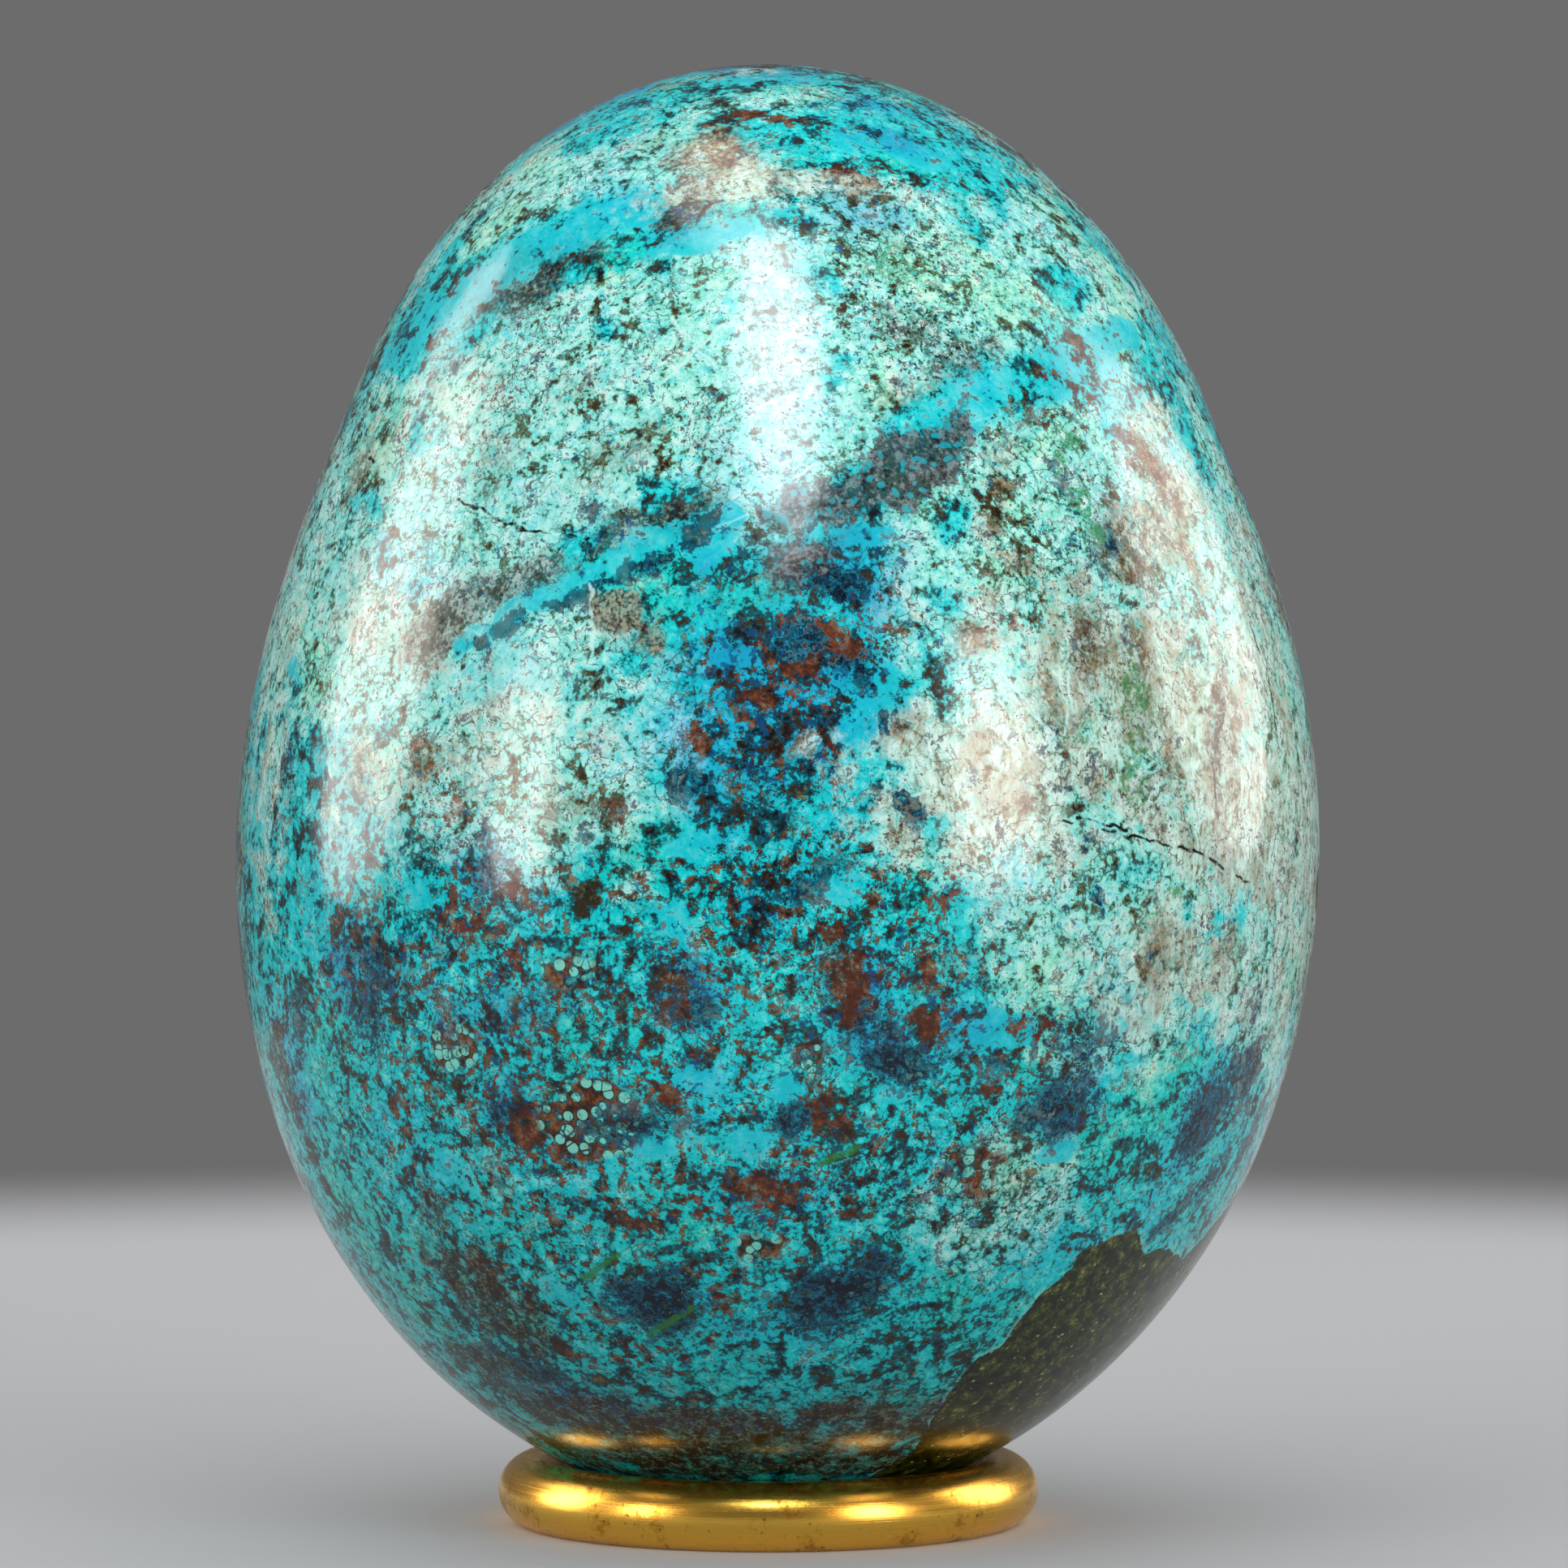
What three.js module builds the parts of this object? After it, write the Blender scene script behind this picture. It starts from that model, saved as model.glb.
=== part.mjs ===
// A polished stone egg that stands, blunt end down, on a loose ring of brass rod.
// Millimetres, +Z up. The origin is the centre of the ring on the table, and -Y faces the viewer.
import * as THREE from 'three';

// Driving dimensions of the egg.
const eggHeight = 80.1; // lowest point to tip
const eggWidth = 60; // across the belly, before the grinding flats
const bellyHeight = 36.9; // from the lowest point up to the widest section
const upperFlankDraw = 0.9; // how far the upper flank is drawn in from a true ellipse
const lowerFlankSwell = 0.25; // how far the lower flank swells out from a true ellipse
const lean = 0.62; // how far the stone leans off its axis, towards +X, where it leans most
const leanHeight = 50; // the height above the lowest point where it leans most

// Soft flats that hand grinding left. Azimuth is in degrees from +X towards +Y, height is above
// the egg's lowest point, depth is how far the flat lies under the true curve, and reach is how
// far it spreads over the surface before it fades.
const grindingFlats = [
  { azimuth: -3, height: 58.5, depth: 0.28, reach: 3.5 },
  { azimuth: 178, height: 60, depth: 0.18, reach: 7 },
  { azimuth: -62, height: 66, depth: 0.16, reach: 8 },
  { azimuth: -128, height: 52, depth: 0.15, reach: 9 },
  { azimuth: -38, height: 24, depth: 0.14, reach: 8 },
  { azimuth: 35, height: 47, depth: 0.22, reach: 10 },
  { azimuth: 100, height: 26, depth: 0.2, reach: 9 },
  { azimuth: 150, height: 62, depth: 0.2, reach: 8 },
];

// Driving dimensions of the ring.
const ringOuterDiameter = 30;
const rodDiameter = 3.9; // the round rod that the ring is bent from
const footWidth = 1.4; // the narrow flat that is lapped under the ring
const seatClearance = 0.3; // between the egg and the rod, all the way round

// How finely the curved surfaces are divided.
const eggMeridians = 80;
const eggRings = 44;
const ringSegments = 96;
const rodSegments = 16;

const rodRadius = rodDiameter / 2;
const rodCircleRadius = ringOuterDiameter / 2 - rodRadius;
// The lapped foot takes the rod's centre this much nearer to the table than its radius.
const rodCentreHeight = Math.sqrt(rodRadius ** 2 - (footWidth / 2) ** 2);

// The egg's section as a radius and a height above its lowest point, for a turn from 0 at the
// lowest point to pi at the tip. Above and below the belly it is a quarter of an ellipse, drawn
// in or swollen along its flank.
function eggSection(turn) {
  const rise = -Math.cos(turn);
  const below = rise < 0;
  const swell = (below ? lowerFlankSwell : -upperFlankDraw) * Math.sin(Math.PI * rise) ** 2;
  return {
    radius: (eggWidth / 2) * Math.sin(turn) + swell,
    height: bellyHeight + (below ? bellyHeight : eggHeight - bellyHeight) * rise,
  };
}

// The turn at which the egg's section passes a height.
function turnAtHeight(height) {
  const halfHeight = height < bellyHeight ? bellyHeight : eggHeight - bellyHeight;
  return Math.acos((bellyHeight - height) / halfHeight);
}

// The point of the section at a turn, swung round to an azimuth in radians.
function pointOnEgg(turn, azimuth) {
  const { radius, height } = eggSection(turn);
  return new THREE.Vector3(radius * Math.cos(azimuth), radius * Math.sin(azimuth), height);
}

// How deep the grinding flats lie at a point of the egg.
function grindingDepth(point) {
  let depth = 0;
  for (const flat of grindingFlats) {
    const azimuth = THREE.MathUtils.degToRad(flat.azimuth);
    const centre = pointOnEgg(turnAtHeight(flat.height), azimuth);
    depth += flat.depth * Math.exp(-((point.distanceTo(centre) / flat.reach) ** 2));
  }
  return depth;
}

// How far the stone leans towards +X at a height. It leans nowhere at its two ends, and most at
// the height where the share of the egg's height, raised to the power, comes to one half.
function leanAtHeight(height) {
  const power = Math.log(0.5) / Math.log(leanHeight / eggHeight);
  const share = THREE.MathUtils.clamp(height / eggHeight, 0, 1);
  return lean * Math.sin(Math.PI * share ** power);
}

// The egg, with its lowest point at the origin: the section turned about the axis, ground in at
// the flats, and leaned.
function eggGeometry() {
  const profile = [];
  for (let i = 0; i <= eggRings; i++) {
    const { radius, height } = eggSection((Math.PI * i) / eggRings);
    const onAxis = i === 0 || i === eggRings;
    profile.push(new THREE.Vector2(onAxis ? 0 : radius, height));
  }
  const geometry = new THREE.LatheGeometry(profile, eggMeridians).rotateX(Math.PI / 2);
  const position = geometry.getAttribute('position');
  const middle = new THREE.Vector3(0, 0, bellyHeight);
  const point = new THREE.Vector3();
  const inward = new THREE.Vector3();
  for (let i = 0; i < position.count; i++) {
    point.fromBufferAttribute(position, i);
    inward.copy(middle).sub(point).normalize();
    point.addScaledVector(inward, grindingDepth(point));
    point.x += leanAtHeight(point.z);
    position.setXYZ(i, point.x, point.y, point.z);
  }
  return geometry;
}

// How high the egg's lowest point stands above the table, so that its surface clears the rod by
// the seat clearance and no more. Points that miss the rod's circle give no height.
function seatHeight(geometry) {
  const position = geometry.getAttribute('position');
  const reach = rodRadius + seatClearance;
  let seat = 0;
  for (let i = 0; i < position.count; i++) {
    const z = position.getZ(i);
    const offCircle = Math.hypot(position.getX(i), position.getY(i)) - rodCircleRadius;
    if (z > bellyHeight || Math.abs(offCircle) >= reach) continue;
    const above = Math.sqrt(reach ** 2 - offCircle ** 2);
    seat = Math.max(seat, rodCentreHeight + above - z);
  }
  return seat;
}

// The ring: the rod's round section with its lapped foot, turned about the ring's axis.
function ringGeometry() {
  const section = [];
  const footHalfAngle = Math.asin(footWidth / 2 / rodRadius);
  const start = -Math.PI / 2 + footHalfAngle;
  const sweep = 2 * Math.PI - 2 * footHalfAngle;
  for (let i = 0; i <= rodSegments; i++) {
    const angle = start + (sweep * i) / rodSegments;
    section.push(
      new THREE.Vector2(
        rodCircleRadius + rodRadius * Math.cos(angle),
        i === 0 || i === rodSegments ? 0 : rodCentreHeight + rodRadius * Math.sin(angle),
      ),
    );
  }
  section.push(section[0].clone());
  return new THREE.LatheGeometry(section, ringSegments).rotateX(Math.PI / 2);
}

function stoneMaterial() {
  return new THREE.MeshStandardMaterial({ color: 0x2fa9ad, roughness: 0.2, metalness: 0 });
}

function brassMaterial() {
  return new THREE.MeshStandardMaterial({ color: 0xc8962e, roughness: 0.25, metalness: 1 });
}

// A node is a named mesh.
function node(name, geometry, material) {
  const mesh = new THREE.Mesh(geometry, material);
  mesh.name = name;
  return mesh;
}

const ringStand = node('brass_ring_stand', ringGeometry(), brassMaterial());

const stoneEgg = node('stone_egg', eggGeometry(), stoneMaterial());
stoneEgg.position.z = seatHeight(stoneEgg.geometry);

const eggOnStand = new THREE.Group();
eggOnStand.add(ringStand, stoneEgg);

export default eggOnStand;
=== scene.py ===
# %% [markdown]
# # A polished stone egg on a brass ring
#
# The real thing is a lump of mixed copper mineral that was ground to an egg and polished, standing
# blunt end down on a loose ring bent from round brass rod. The construction model gives both pieces
# at their real size. This script gives them their looks: a finer surface for each, a stone whose
# colours are built up in layers the way the mineral grew, brass that has been handled, and the
# light of a small studio. Blender measures in metres and the notes here in millimetres.

# %% Load the construction model
import math

import bmesh
import bpy
import numpy as np
from mathutils import Matrix, Vector, noise
from mathutils.bvhtree import BVHTree


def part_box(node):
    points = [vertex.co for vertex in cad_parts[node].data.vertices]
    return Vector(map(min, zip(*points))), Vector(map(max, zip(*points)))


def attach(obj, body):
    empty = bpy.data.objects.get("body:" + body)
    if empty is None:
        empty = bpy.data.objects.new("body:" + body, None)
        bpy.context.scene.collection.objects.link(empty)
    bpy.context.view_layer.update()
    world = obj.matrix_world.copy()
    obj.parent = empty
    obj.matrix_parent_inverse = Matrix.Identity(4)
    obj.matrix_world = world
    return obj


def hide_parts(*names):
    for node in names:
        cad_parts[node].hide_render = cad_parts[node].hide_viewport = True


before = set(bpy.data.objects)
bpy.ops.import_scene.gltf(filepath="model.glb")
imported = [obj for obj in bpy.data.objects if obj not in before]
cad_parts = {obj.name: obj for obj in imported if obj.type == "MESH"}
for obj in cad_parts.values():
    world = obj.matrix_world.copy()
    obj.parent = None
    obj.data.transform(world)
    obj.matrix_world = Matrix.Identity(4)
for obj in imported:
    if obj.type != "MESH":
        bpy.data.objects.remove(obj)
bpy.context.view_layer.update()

MM = 0.001
egg_low, egg_high = (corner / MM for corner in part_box("stone_egg"))
ring_low, ring_high = (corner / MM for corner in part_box("brass_ring_stand"))
print("egg from", egg_low, "to", egg_high, "mm")
print("ring from", ring_low, "to", ring_high, "mm")

# %% [markdown]
# ## The egg's shape
#
# An egg's section is an ellipse whose upper half is longer than its lower half. This one is also
# drawn in a little along its upper flank, because it was ground by hand. A sphere made by
# `create_uvsphere` already has its vertices in rings from one pole to the other, so each vertex can
# simply be moved to where the egg's own formula puts it. Subdividing a coarse egg would be the other
# way, but it would round off the soft flats that the grinding left, and those are what makes the
# reflections on a real stone egg wander.

# %% The sizes of the egg
egg_width = 60.0
egg_height = egg_high.z - egg_low.z
belly_height = 36.9
upper_flank_draw = 0.9
lower_flank_swell = 0.25
lean = 0.62
lean_height = 50.0

# Soft flats, as azimuth from +X towards +Y, height above the lowest point, depth and reach.
grinding_flats = [
    (-3, 58.5, 0.28, 3.5),
    (178, 60, 0.18, 7),
    (-62, 66, 0.16, 8),
    (-128, 52, 0.15, 9),
    (-38, 24, 0.14, 8),
    (35, 47, 0.22, 10),
    (100, 26, 0.2, 9),
    (150, 62, 0.2, 8),
]
print("the egg is", round(egg_height, 2), "mm tall and has", len(grinding_flats), "soft flats")


# %% The formula of the egg's surface
def section(turn):
    """Radius and height where the section has turned from 0, the lowest point, to pi, the tip."""
    rise = -math.cos(turn)
    below = rise < 0
    swell = (lower_flank_swell if below else -upper_flank_draw) * math.sin(math.pi * rise) ** 2
    half_height = belly_height if below else egg_height - belly_height
    return egg_width / 2 * math.sin(turn) + swell, belly_height + half_height * rise


def on_section(turn, azimuth):
    radius, height = section(turn)
    return Vector((radius * math.cos(azimuth), radius * math.sin(azimuth), height))


def flat_centre(azimuth, height):
    half_height = belly_height if height < belly_height else egg_height - belly_height
    turn = math.acos((belly_height - height) / half_height)
    return on_section(turn, math.radians(azimuth))


def lean_at(height):
    power = math.log(0.5) / math.log(lean_height / egg_height)
    share = min(max(height / egg_height, 0), 1)
    return lean * math.sin(math.pi * share**power)


flats = [(flat_centre(azimuth, height), depth, reach)
         for azimuth, height, depth, reach in grinding_flats]
print("the egg leans", round(lean_at(belly_height), 2), "mm towards +X at its belly")

# %% [markdown]
# Hand polishing also leaves waves a few hundredths of a millimetre high and about a finger's width
# long. They can't be seen as shape, but a reflection doubles every slope, so the edges of the lamps'
# reflections bend with them. They are made in the mesh, by smooth noise, and not in the material,
# so that the mesh itself keeps them.

# %% Make the fine egg
wave_height = 0.035
wave_length = 9.0
meridians = 300
rings_of_vertices = 190


def egg_surface(unit):
    """Where a vertex of the unit sphere goes, in millimetres above the egg's lowest point."""
    turn = math.acos(max(-1.0, min(1.0, -unit.z)))
    point = on_section(turn, math.atan2(unit.y, unit.x))
    inward = (Vector((0, 0, belly_height)) - point).normalized()
    depth = sum(flat_depth * math.exp(-(((point - centre).length / reach) ** 2))
                for centre, flat_depth, reach in flats)
    depth += wave_height * (1 + noise.noise(point / wave_length)) * math.sin(turn)
    point += inward * depth
    point.x += lean_at(point.z)
    return point


egg_mesh = bmesh.new()
bmesh.ops.create_uvsphere(
    egg_mesh, u_segments=meridians, v_segments=rings_of_vertices, radius=1.0)
for vertex in egg_mesh.verts:
    vertex.co = (egg_surface(vertex.co) + Vector((0, 0, egg_low.z))) * MM
bmesh.ops.recalc_face_normals(egg_mesh, faces=egg_mesh.faces)
print("fine egg:", len(egg_mesh.faces), "faces")


# %% Turn a finished bmesh into a piece
def piece_from(mesh_in_progress, name):
    data = bpy.data.meshes.new(name)
    mesh_in_progress.to_mesh(data)
    data.polygons.foreach_set("use_smooth", [True] * len(data.polygons))
    made = bpy.data.objects.new(name, data)
    bpy.context.scene.collection.objects.link(made)
    return made


egg = piece_from(egg_mesh, "polished_egg")
egg_tree = BVHTree.FromBMesh(egg_mesh)
print("made", egg.name)

# %% [markdown]
# ## The ring's shape
#
# The ring is round rod bent to a circle. `spin` is made for that: it carries a section round an
# axis and joins what it sweeps. The section is a circle of rod, and afterwards a level cut takes off
# the sliver under the ring that lapping on a flat plate wore away, so that it stands without rocking.

# %% Spin the ring and lap its foot
ring_outer_radius = 15.0
rod_radius = 1.95
rod_circle_radius = ring_outer_radius - rod_radius
rod_centre_height = ring_high.z - rod_radius
rod_sides = 48
ring_steps = 180

ring_mesh = bmesh.new()
rod = bmesh.ops.create_circle(ring_mesh, segments=rod_sides, radius=rod_radius * MM)
stand_up = Matrix.Rotation(math.pi / 2, 4, "X")
move_out = Matrix.Translation(Vector((rod_circle_radius, 0, rod_centre_height)) * MM)
bmesh.ops.transform(ring_mesh, matrix=move_out @ stand_up, verts=rod["verts"])
bmesh.ops.spin(
    ring_mesh, geom=ring_mesh.verts[:] + ring_mesh.edges[:], cent=(0, 0, 0), axis=(0, 0, 1),
    angle=2 * math.pi, steps=ring_steps, use_merge=True, use_duplicate=False)
bmesh.ops.bisect_plane(
    ring_mesh, geom=ring_mesh.verts[:] + ring_mesh.edges[:] + ring_mesh.faces[:],
    plane_co=(0, 0, 0), plane_no=(0, 0, -1), clear_outer=True)
lips = [edge for edge in ring_mesh.edges if edge.is_boundary]
bmesh.ops.bridge_loops(ring_mesh, edges=lips)
bmesh.ops.recalc_face_normals(ring_mesh, faces=ring_mesh.faces)
ring = piece_from(ring_mesh, "polished_ring")
open_edges = sum(edge.is_boundary for edge in ring_mesh.edges)
print("ring:", len(ring_mesh.faces), "faces,", open_edges, "open edges")

# %% [markdown]
# ## The camera
#
# The egg was photographed from the front, a little above its middle, with a long lens. The camera's
# place was found by fitting the egg's outline and the ring's width together. It also gives a way to
# put each mark on the stone: a ray through a pixel of the photograph, which is 1932 pixels wide and
# tall, meets the egg where that mark is.

# %% Place the camera
photo_pixels = 1932
focal_pixels = 11579
sensor_width = 36.0
camera_place = Vector((0.88, -520.0, 65.0))
camera_aim = Vector((0.88, 0.0, 41.0))

camera_data = bpy.data.cameras.new("camera")
camera_data.sensor_width = sensor_width
camera_data.lens = focal_pixels / photo_pixels * sensor_width
camera_data.clip_start = 10 * MM
camera = bpy.data.objects.new("camera", camera_data)
bpy.context.scene.collection.objects.link(camera)
ahead = (camera_aim - camera_place).normalized()
camera.location = camera_place * MM
camera.rotation_euler = ahead.to_track_quat("-Z", "Y").to_euler()
bpy.context.scene.camera = camera
print("lens", round(camera_data.lens, 1), "mm")


# %% Find a place on the stone
def in_photo(across, down):
    """The point of the egg, and its outward direction, at a pixel of the photograph."""
    side = ahead.cross(Vector((0, 0, 1))).normalized()
    above = side.cross(ahead)
    half = photo_pixels / 2
    ray = ahead + side * ((across - half) / focal_pixels) - above * ((down - half) / focal_pixels)
    place, outward, _, _ = egg_tree.ray_cast(camera_place * MM, ray.normalized())
    return place / MM, outward


def round_the_egg(bearing, height):
    """The same by bearing, in degrees from the front to the right, and height above the table."""
    turn = math.radians(bearing)
    away = Vector((math.sin(turn), -math.cos(turn), 0))
    start = (away * egg_width + Vector((0, 0, height))) * MM
    place, outward, _, _ = egg_tree.ray_cast(start, -away)
    return place / MM, outward


print("the photo's middle is at", in_photo(photo_pixels / 2, photo_pixels / 2)[0])

# %% [markdown]
# ## Painting where each mineral lies
#
# The stone is not one pattern all over. Turquoise bands cross its front, a cream area covers its
# right, rust gathers low down, and a corner of dark host rock shows at the lower right. Such broad
# areas are quickest to paint, and a painter would use weight paint. The script does the same by
# rule: every kind of mineral gets one number at each vertex, raised inside a list of patches, and
# the material later breaks the soft edges of those patches up with fine noise.
#
# A patch is written as the photograph's pixel at its middle, its length and width in millimetres,
# how far it is tilted from level in degrees, and its strength. The back of the egg isn't in the
# photograph, so smooth noise lays the same minerals out there.

# %% A brush that paints patches
vertex_count = len(egg.data.vertices)
vertex_places = np.empty(vertex_count * 3)
egg.data.vertices.foreach_get("co", vertex_places)
vertex_places = vertex_places.reshape(-1, 3) / MM


def smooth(values, low, high):
    share = np.clip((values - low) / (high - low), 0, 1)
    return share * share * (3 - 2 * share)


# How far a vertex is round the back, from 0 in the photograph's sight to 1 out of it.
back_begins = -9.0
back_is_full = -1.0
round_back = smooth(vertex_places[:, 1], back_begins, back_is_full)

# Soft noise, a few millimetres long, that keeps the patches from being true ovals.
ragged_size = 2.8
ragged = np.array([noise.fractal(Vector(place) / ragged_size, 0.8, 2.0, 2)
                   for place in vertex_places])
ragged = ragged / ragged.std()
patch_raggedness = 0.2
stroke_raggedness = 0.4
print("the brush has", vertex_count, "vertices to paint,", int(round_back.sum()), "at the back")


# %% [markdown]
# The brush has four tips. A patch is an oval that lies on the surface. An area has an outline of its
# own. A stroke follows a line. And where the photograph doesn't reach, smooth noise is cut off at
# such a height that it covers a given share of the stone.

# %% The tips of the brush
wild_edge = 0.12
area_edge = 1.6


def patch_mask(place, outward, length, width, tilt, softness):
    """1 inside an oval patch that lies on the surface, 0 outside, and soft at its edge."""
    east = Vector((0, 0, 1)).cross(outward).normalized()
    north = outward.cross(east)
    turn = math.radians(tilt)
    along = east * math.cos(turn) + north * math.sin(turn)
    across = outward.cross(along)
    away = vertex_places - np.array(place)
    from_middle = np.sqrt(
        (away @ np.array(along) / (length / 2)) ** 2
        + (away @ np.array(across) / (width / 2)) ** 2
        + (away @ np.array(outward) / max(length, width)) ** 2)
    shaken_edge = from_middle + ragged * patch_raggedness
    return 1 - smooth(shaken_edge, 1 - softness, 1 + softness)


def wild_cover(size, share, seed):
    """Patches about the given size, in millimetres, over about that share of the unseen side."""
    offset = Vector((seed * 17.3, seed * 5.1, seed * 9.7))
    cover = np.array([noise.fractal(Vector(place) / size + offset, 0.9, 2.0, 3)
                      for place in vertex_places])
    line = np.quantile(cover, 1 - share)
    return smooth(cover, line - wild_edge, line + wild_edge) * round_back


def unrolled(place):
    """Where a place lies when the egg's skin is unrolled: bearing as an arc, and height."""
    arc_radius = 24.0
    return math.atan2(place[0], -place[1]) * arc_radius, place[2]


def area_mask(corners, softness):
    """1 inside an outline that lies on the surface, 0 outside, soft over so many millimetres."""
    skin = np.array([unrolled(place) for place in vertex_places])
    outline = np.array([unrolled(corner) for corner in corners])
    inside = np.zeros(vertex_count, dtype=bool)
    nearest = np.full(vertex_count, np.inf)
    for start, end in zip(outline, np.roll(outline, -1, axis=0)):
        run = end - start
        along = np.clip((skin - start) @ run / (run @ run), 0, 1)
        gap = skin - start - along[:, None] * run
        nearest = np.minimum(nearest, np.hypot(gap[:, 0], gap[:, 1]))
        spans = (start[1] > skin[:, 1]) != (end[1] > skin[:, 1])
        rise = run[1] if run[1] else 1.0
        crossing = start[0] + (skin[:, 1] - start[1]) / rise * run[0]
        inside ^= spans & (skin[:, 0] < crossing)
    return smooth(np.where(inside, nearest, -nearest), -softness, softness)


def stroke_mask(points, width, softness):
    """1 along a brush stroke through places on the surface, 0 away from it."""
    nearest = np.full(vertex_count, np.inf)
    for start, end in zip(points, points[1:]):
        run = np.array(end - start)
        along = np.clip((vertex_places - np.array(start)) @ run / (run @ run), 0, 1)
        gap = vertex_places - np.array(start) - along[:, None] * run
        nearest = np.minimum(nearest, np.sqrt((gap * gap).sum(axis=1)))
    shaken_edge = nearest / (width / 2) + ragged * stroke_raggedness
    return 1 - smooth(shaken_edge, 1 - softness, 1 + softness)


def paint(mineral, patches, softness, wild=None, areas=(), far_patches=(), strokes=()):
    """Paints one mineral on the egg, as an attribute that the material can read.

    Softness is how much of a patch its edge takes. Wild is the size and share of the patches that
    noise lays out on the unseen side, and a number that gives each mineral its own layout.
    """
    cover = np.zeros(vertex_count)
    for points, width, strength in strokes:
        cover = np.maximum(cover, strength * stroke_mask(points, width, softness))
    found = [(in_photo(*patch[:2]), patch[2:]) for patch in patches]
    found += [(round_the_egg(*patch[:2]), patch[2:]) for patch in far_patches]
    for (place, outward), (length, width, tilt, strength) in found:
        mask = strength * patch_mask(place, outward, length, width, tilt, softness)
        cover = np.maximum(cover, mask)
    for corners in areas:
        cover = np.maximum(cover, area_mask(corners, area_edge))
    if wild:
        cover = np.maximum(cover, wild_cover(*wild))
    attribute = egg.data.attributes.new(mineral, "FLOAT", "POINT")
    attribute.data.foreach_set("value", cover.astype(np.float32))
    print("painted", mineral, "over", round(100 * float(cover.mean()), 1), "percent")


print("the brush is ready")


# %% Name places for outlines, strokes and cracks
def seen(*pixels):
    """Places on the stone, from pixels of the photograph."""
    return [in_photo(across, down)[0] for across, down in pixels]


def unseen(*places):
    """Places on the stone, from bearings and heights."""
    return [round_the_egg(bearing, height)[0] for bearing, height in places]


print("the front of the egg's belly is at", unseen((0, belly_height))[0])

# %% [markdown]
# Pale, washed-out mineral covers most of the upper half. It is painted first, broadly, because all
# the other minerals are laid over it. A few of its patches, at the left limb and beside the central
# highlight, are partly painted highlight.

# %% The pale areas
washed_patches = [
    # pixels across and down, length, width, tilt, strength
    (640, 560, 21, 19, 40, 1.0),
    (900, 420, 16, 12, 60, 1.0),
    (1150, 340, 15, 12, -30, 0.9),
    (800, 200, 16, 7, 15, 0.6),
    (1330, 650, 18, 20, 60, 0.9),
    (1000, 130, 20, 6, 0, 0.55),
    (1300, 900, 20, 24, 90, 1.0),
    (1530, 1000, 14, 32, 85, 1.0),
    (640, 890, 22, 17, 0, 1.0),
    (430, 780, 10, 26, 80, 0.8),
    (1350, 1190, 18, 13, -20, 0.9),
    (1220, 1480, 14, 10, 30, 0.6),
    (960, 560, 10, 9, 60, 1.0),
    (1370, 390, 5, 9, -40, 0.9),
    (1290, 280, 5, 9, -40, 0.8),
    (640, 215, 6, 6, 30, 0.8),
    # this patch and the one at (480, 500) are partly pale mineral and partly painted highlight at the
    # left limb
    (470, 540, 6, 10, 60, 0.9),
    (570, 270, 8, 5, 55, 0.9),
    (480, 500, 5, 9, 65, 1.0),
    (1250, 720, 5, 14, 85, 1.0),
    (640, 250, 8, 5, 50, 1.0),
    # this patch is partly pale mineral and partly painted highlight, beside the central highlight
    (1090, 470, 8, 4, 25, 1.0),
]
washed_far = [
    # bearing, height, length, width, tilt, strength
    (78, 46, 44, 34, 0, 1.0),
    (66, 30, 20, 16, 0, 0.8),
    (-72, 52, 20, 20, 0, 0.7),
]
paint("washed", washed_patches, softness=0.5, wild=(16, 0.45, 1), far_patches=washed_far)

# %% [markdown]
# On the right the stone goes over to cream and tan, with a smaller patch of it at the left limb,
# which there is partly painted highlight.

# %% The cream and tan areas
cream_patches = [
    (1230, 950, 9, 16, 80, 1.0),
    (1420, 850, 13, 22, 85, 0.9),
    (1540, 1000, 9, 26, 85, 1.0),
    (1430, 1180, 12, 9, 0, 0.8),
    (1540, 1230, 8, 10, 80, 0.7),
    (460, 760, 6, 18, 75, 0.6),
    (620, 930, 9, 8, 0, 0.55),
    (450, 980, 8, 8, 0, 0.6),
    (1440, 640, 6, 12, -60, 0.7),
    (940, 225, 12, 3.2, 5, 0.8),
    (560, 480, 7, 9, 60, 0.45),
    # these two patches at the left limb are partly cream mineral and partly painted highlight
    (455, 560, 4, 8, 65, 0.6),
    (478, 515, 4, 9, 65, 0.6),
    (1250, 740, 3, 9, 85, 0.6),
    (1420, 520, 4, 8, -60, 0.6),
    (1230, 640, 6, 6, 0, 0.35),
]
cream_far = [
    (70, 42, 8, 34, 0, 0.8),
    (86, 36, 14, 20, 0, 0.9),
    (-68, 44, 8, 18, 0, 0.6),
]
paint("cream", cream_patches, softness=0.7, wild=(13, 0.22, 2), far_patches=cream_far)

# %% [markdown]
# Some of the turquoise is clear and unbroken. It lies in bands that cross the front from lower left
# to upper right, so most of it is painted with strokes, and small patches are added between them.

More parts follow.
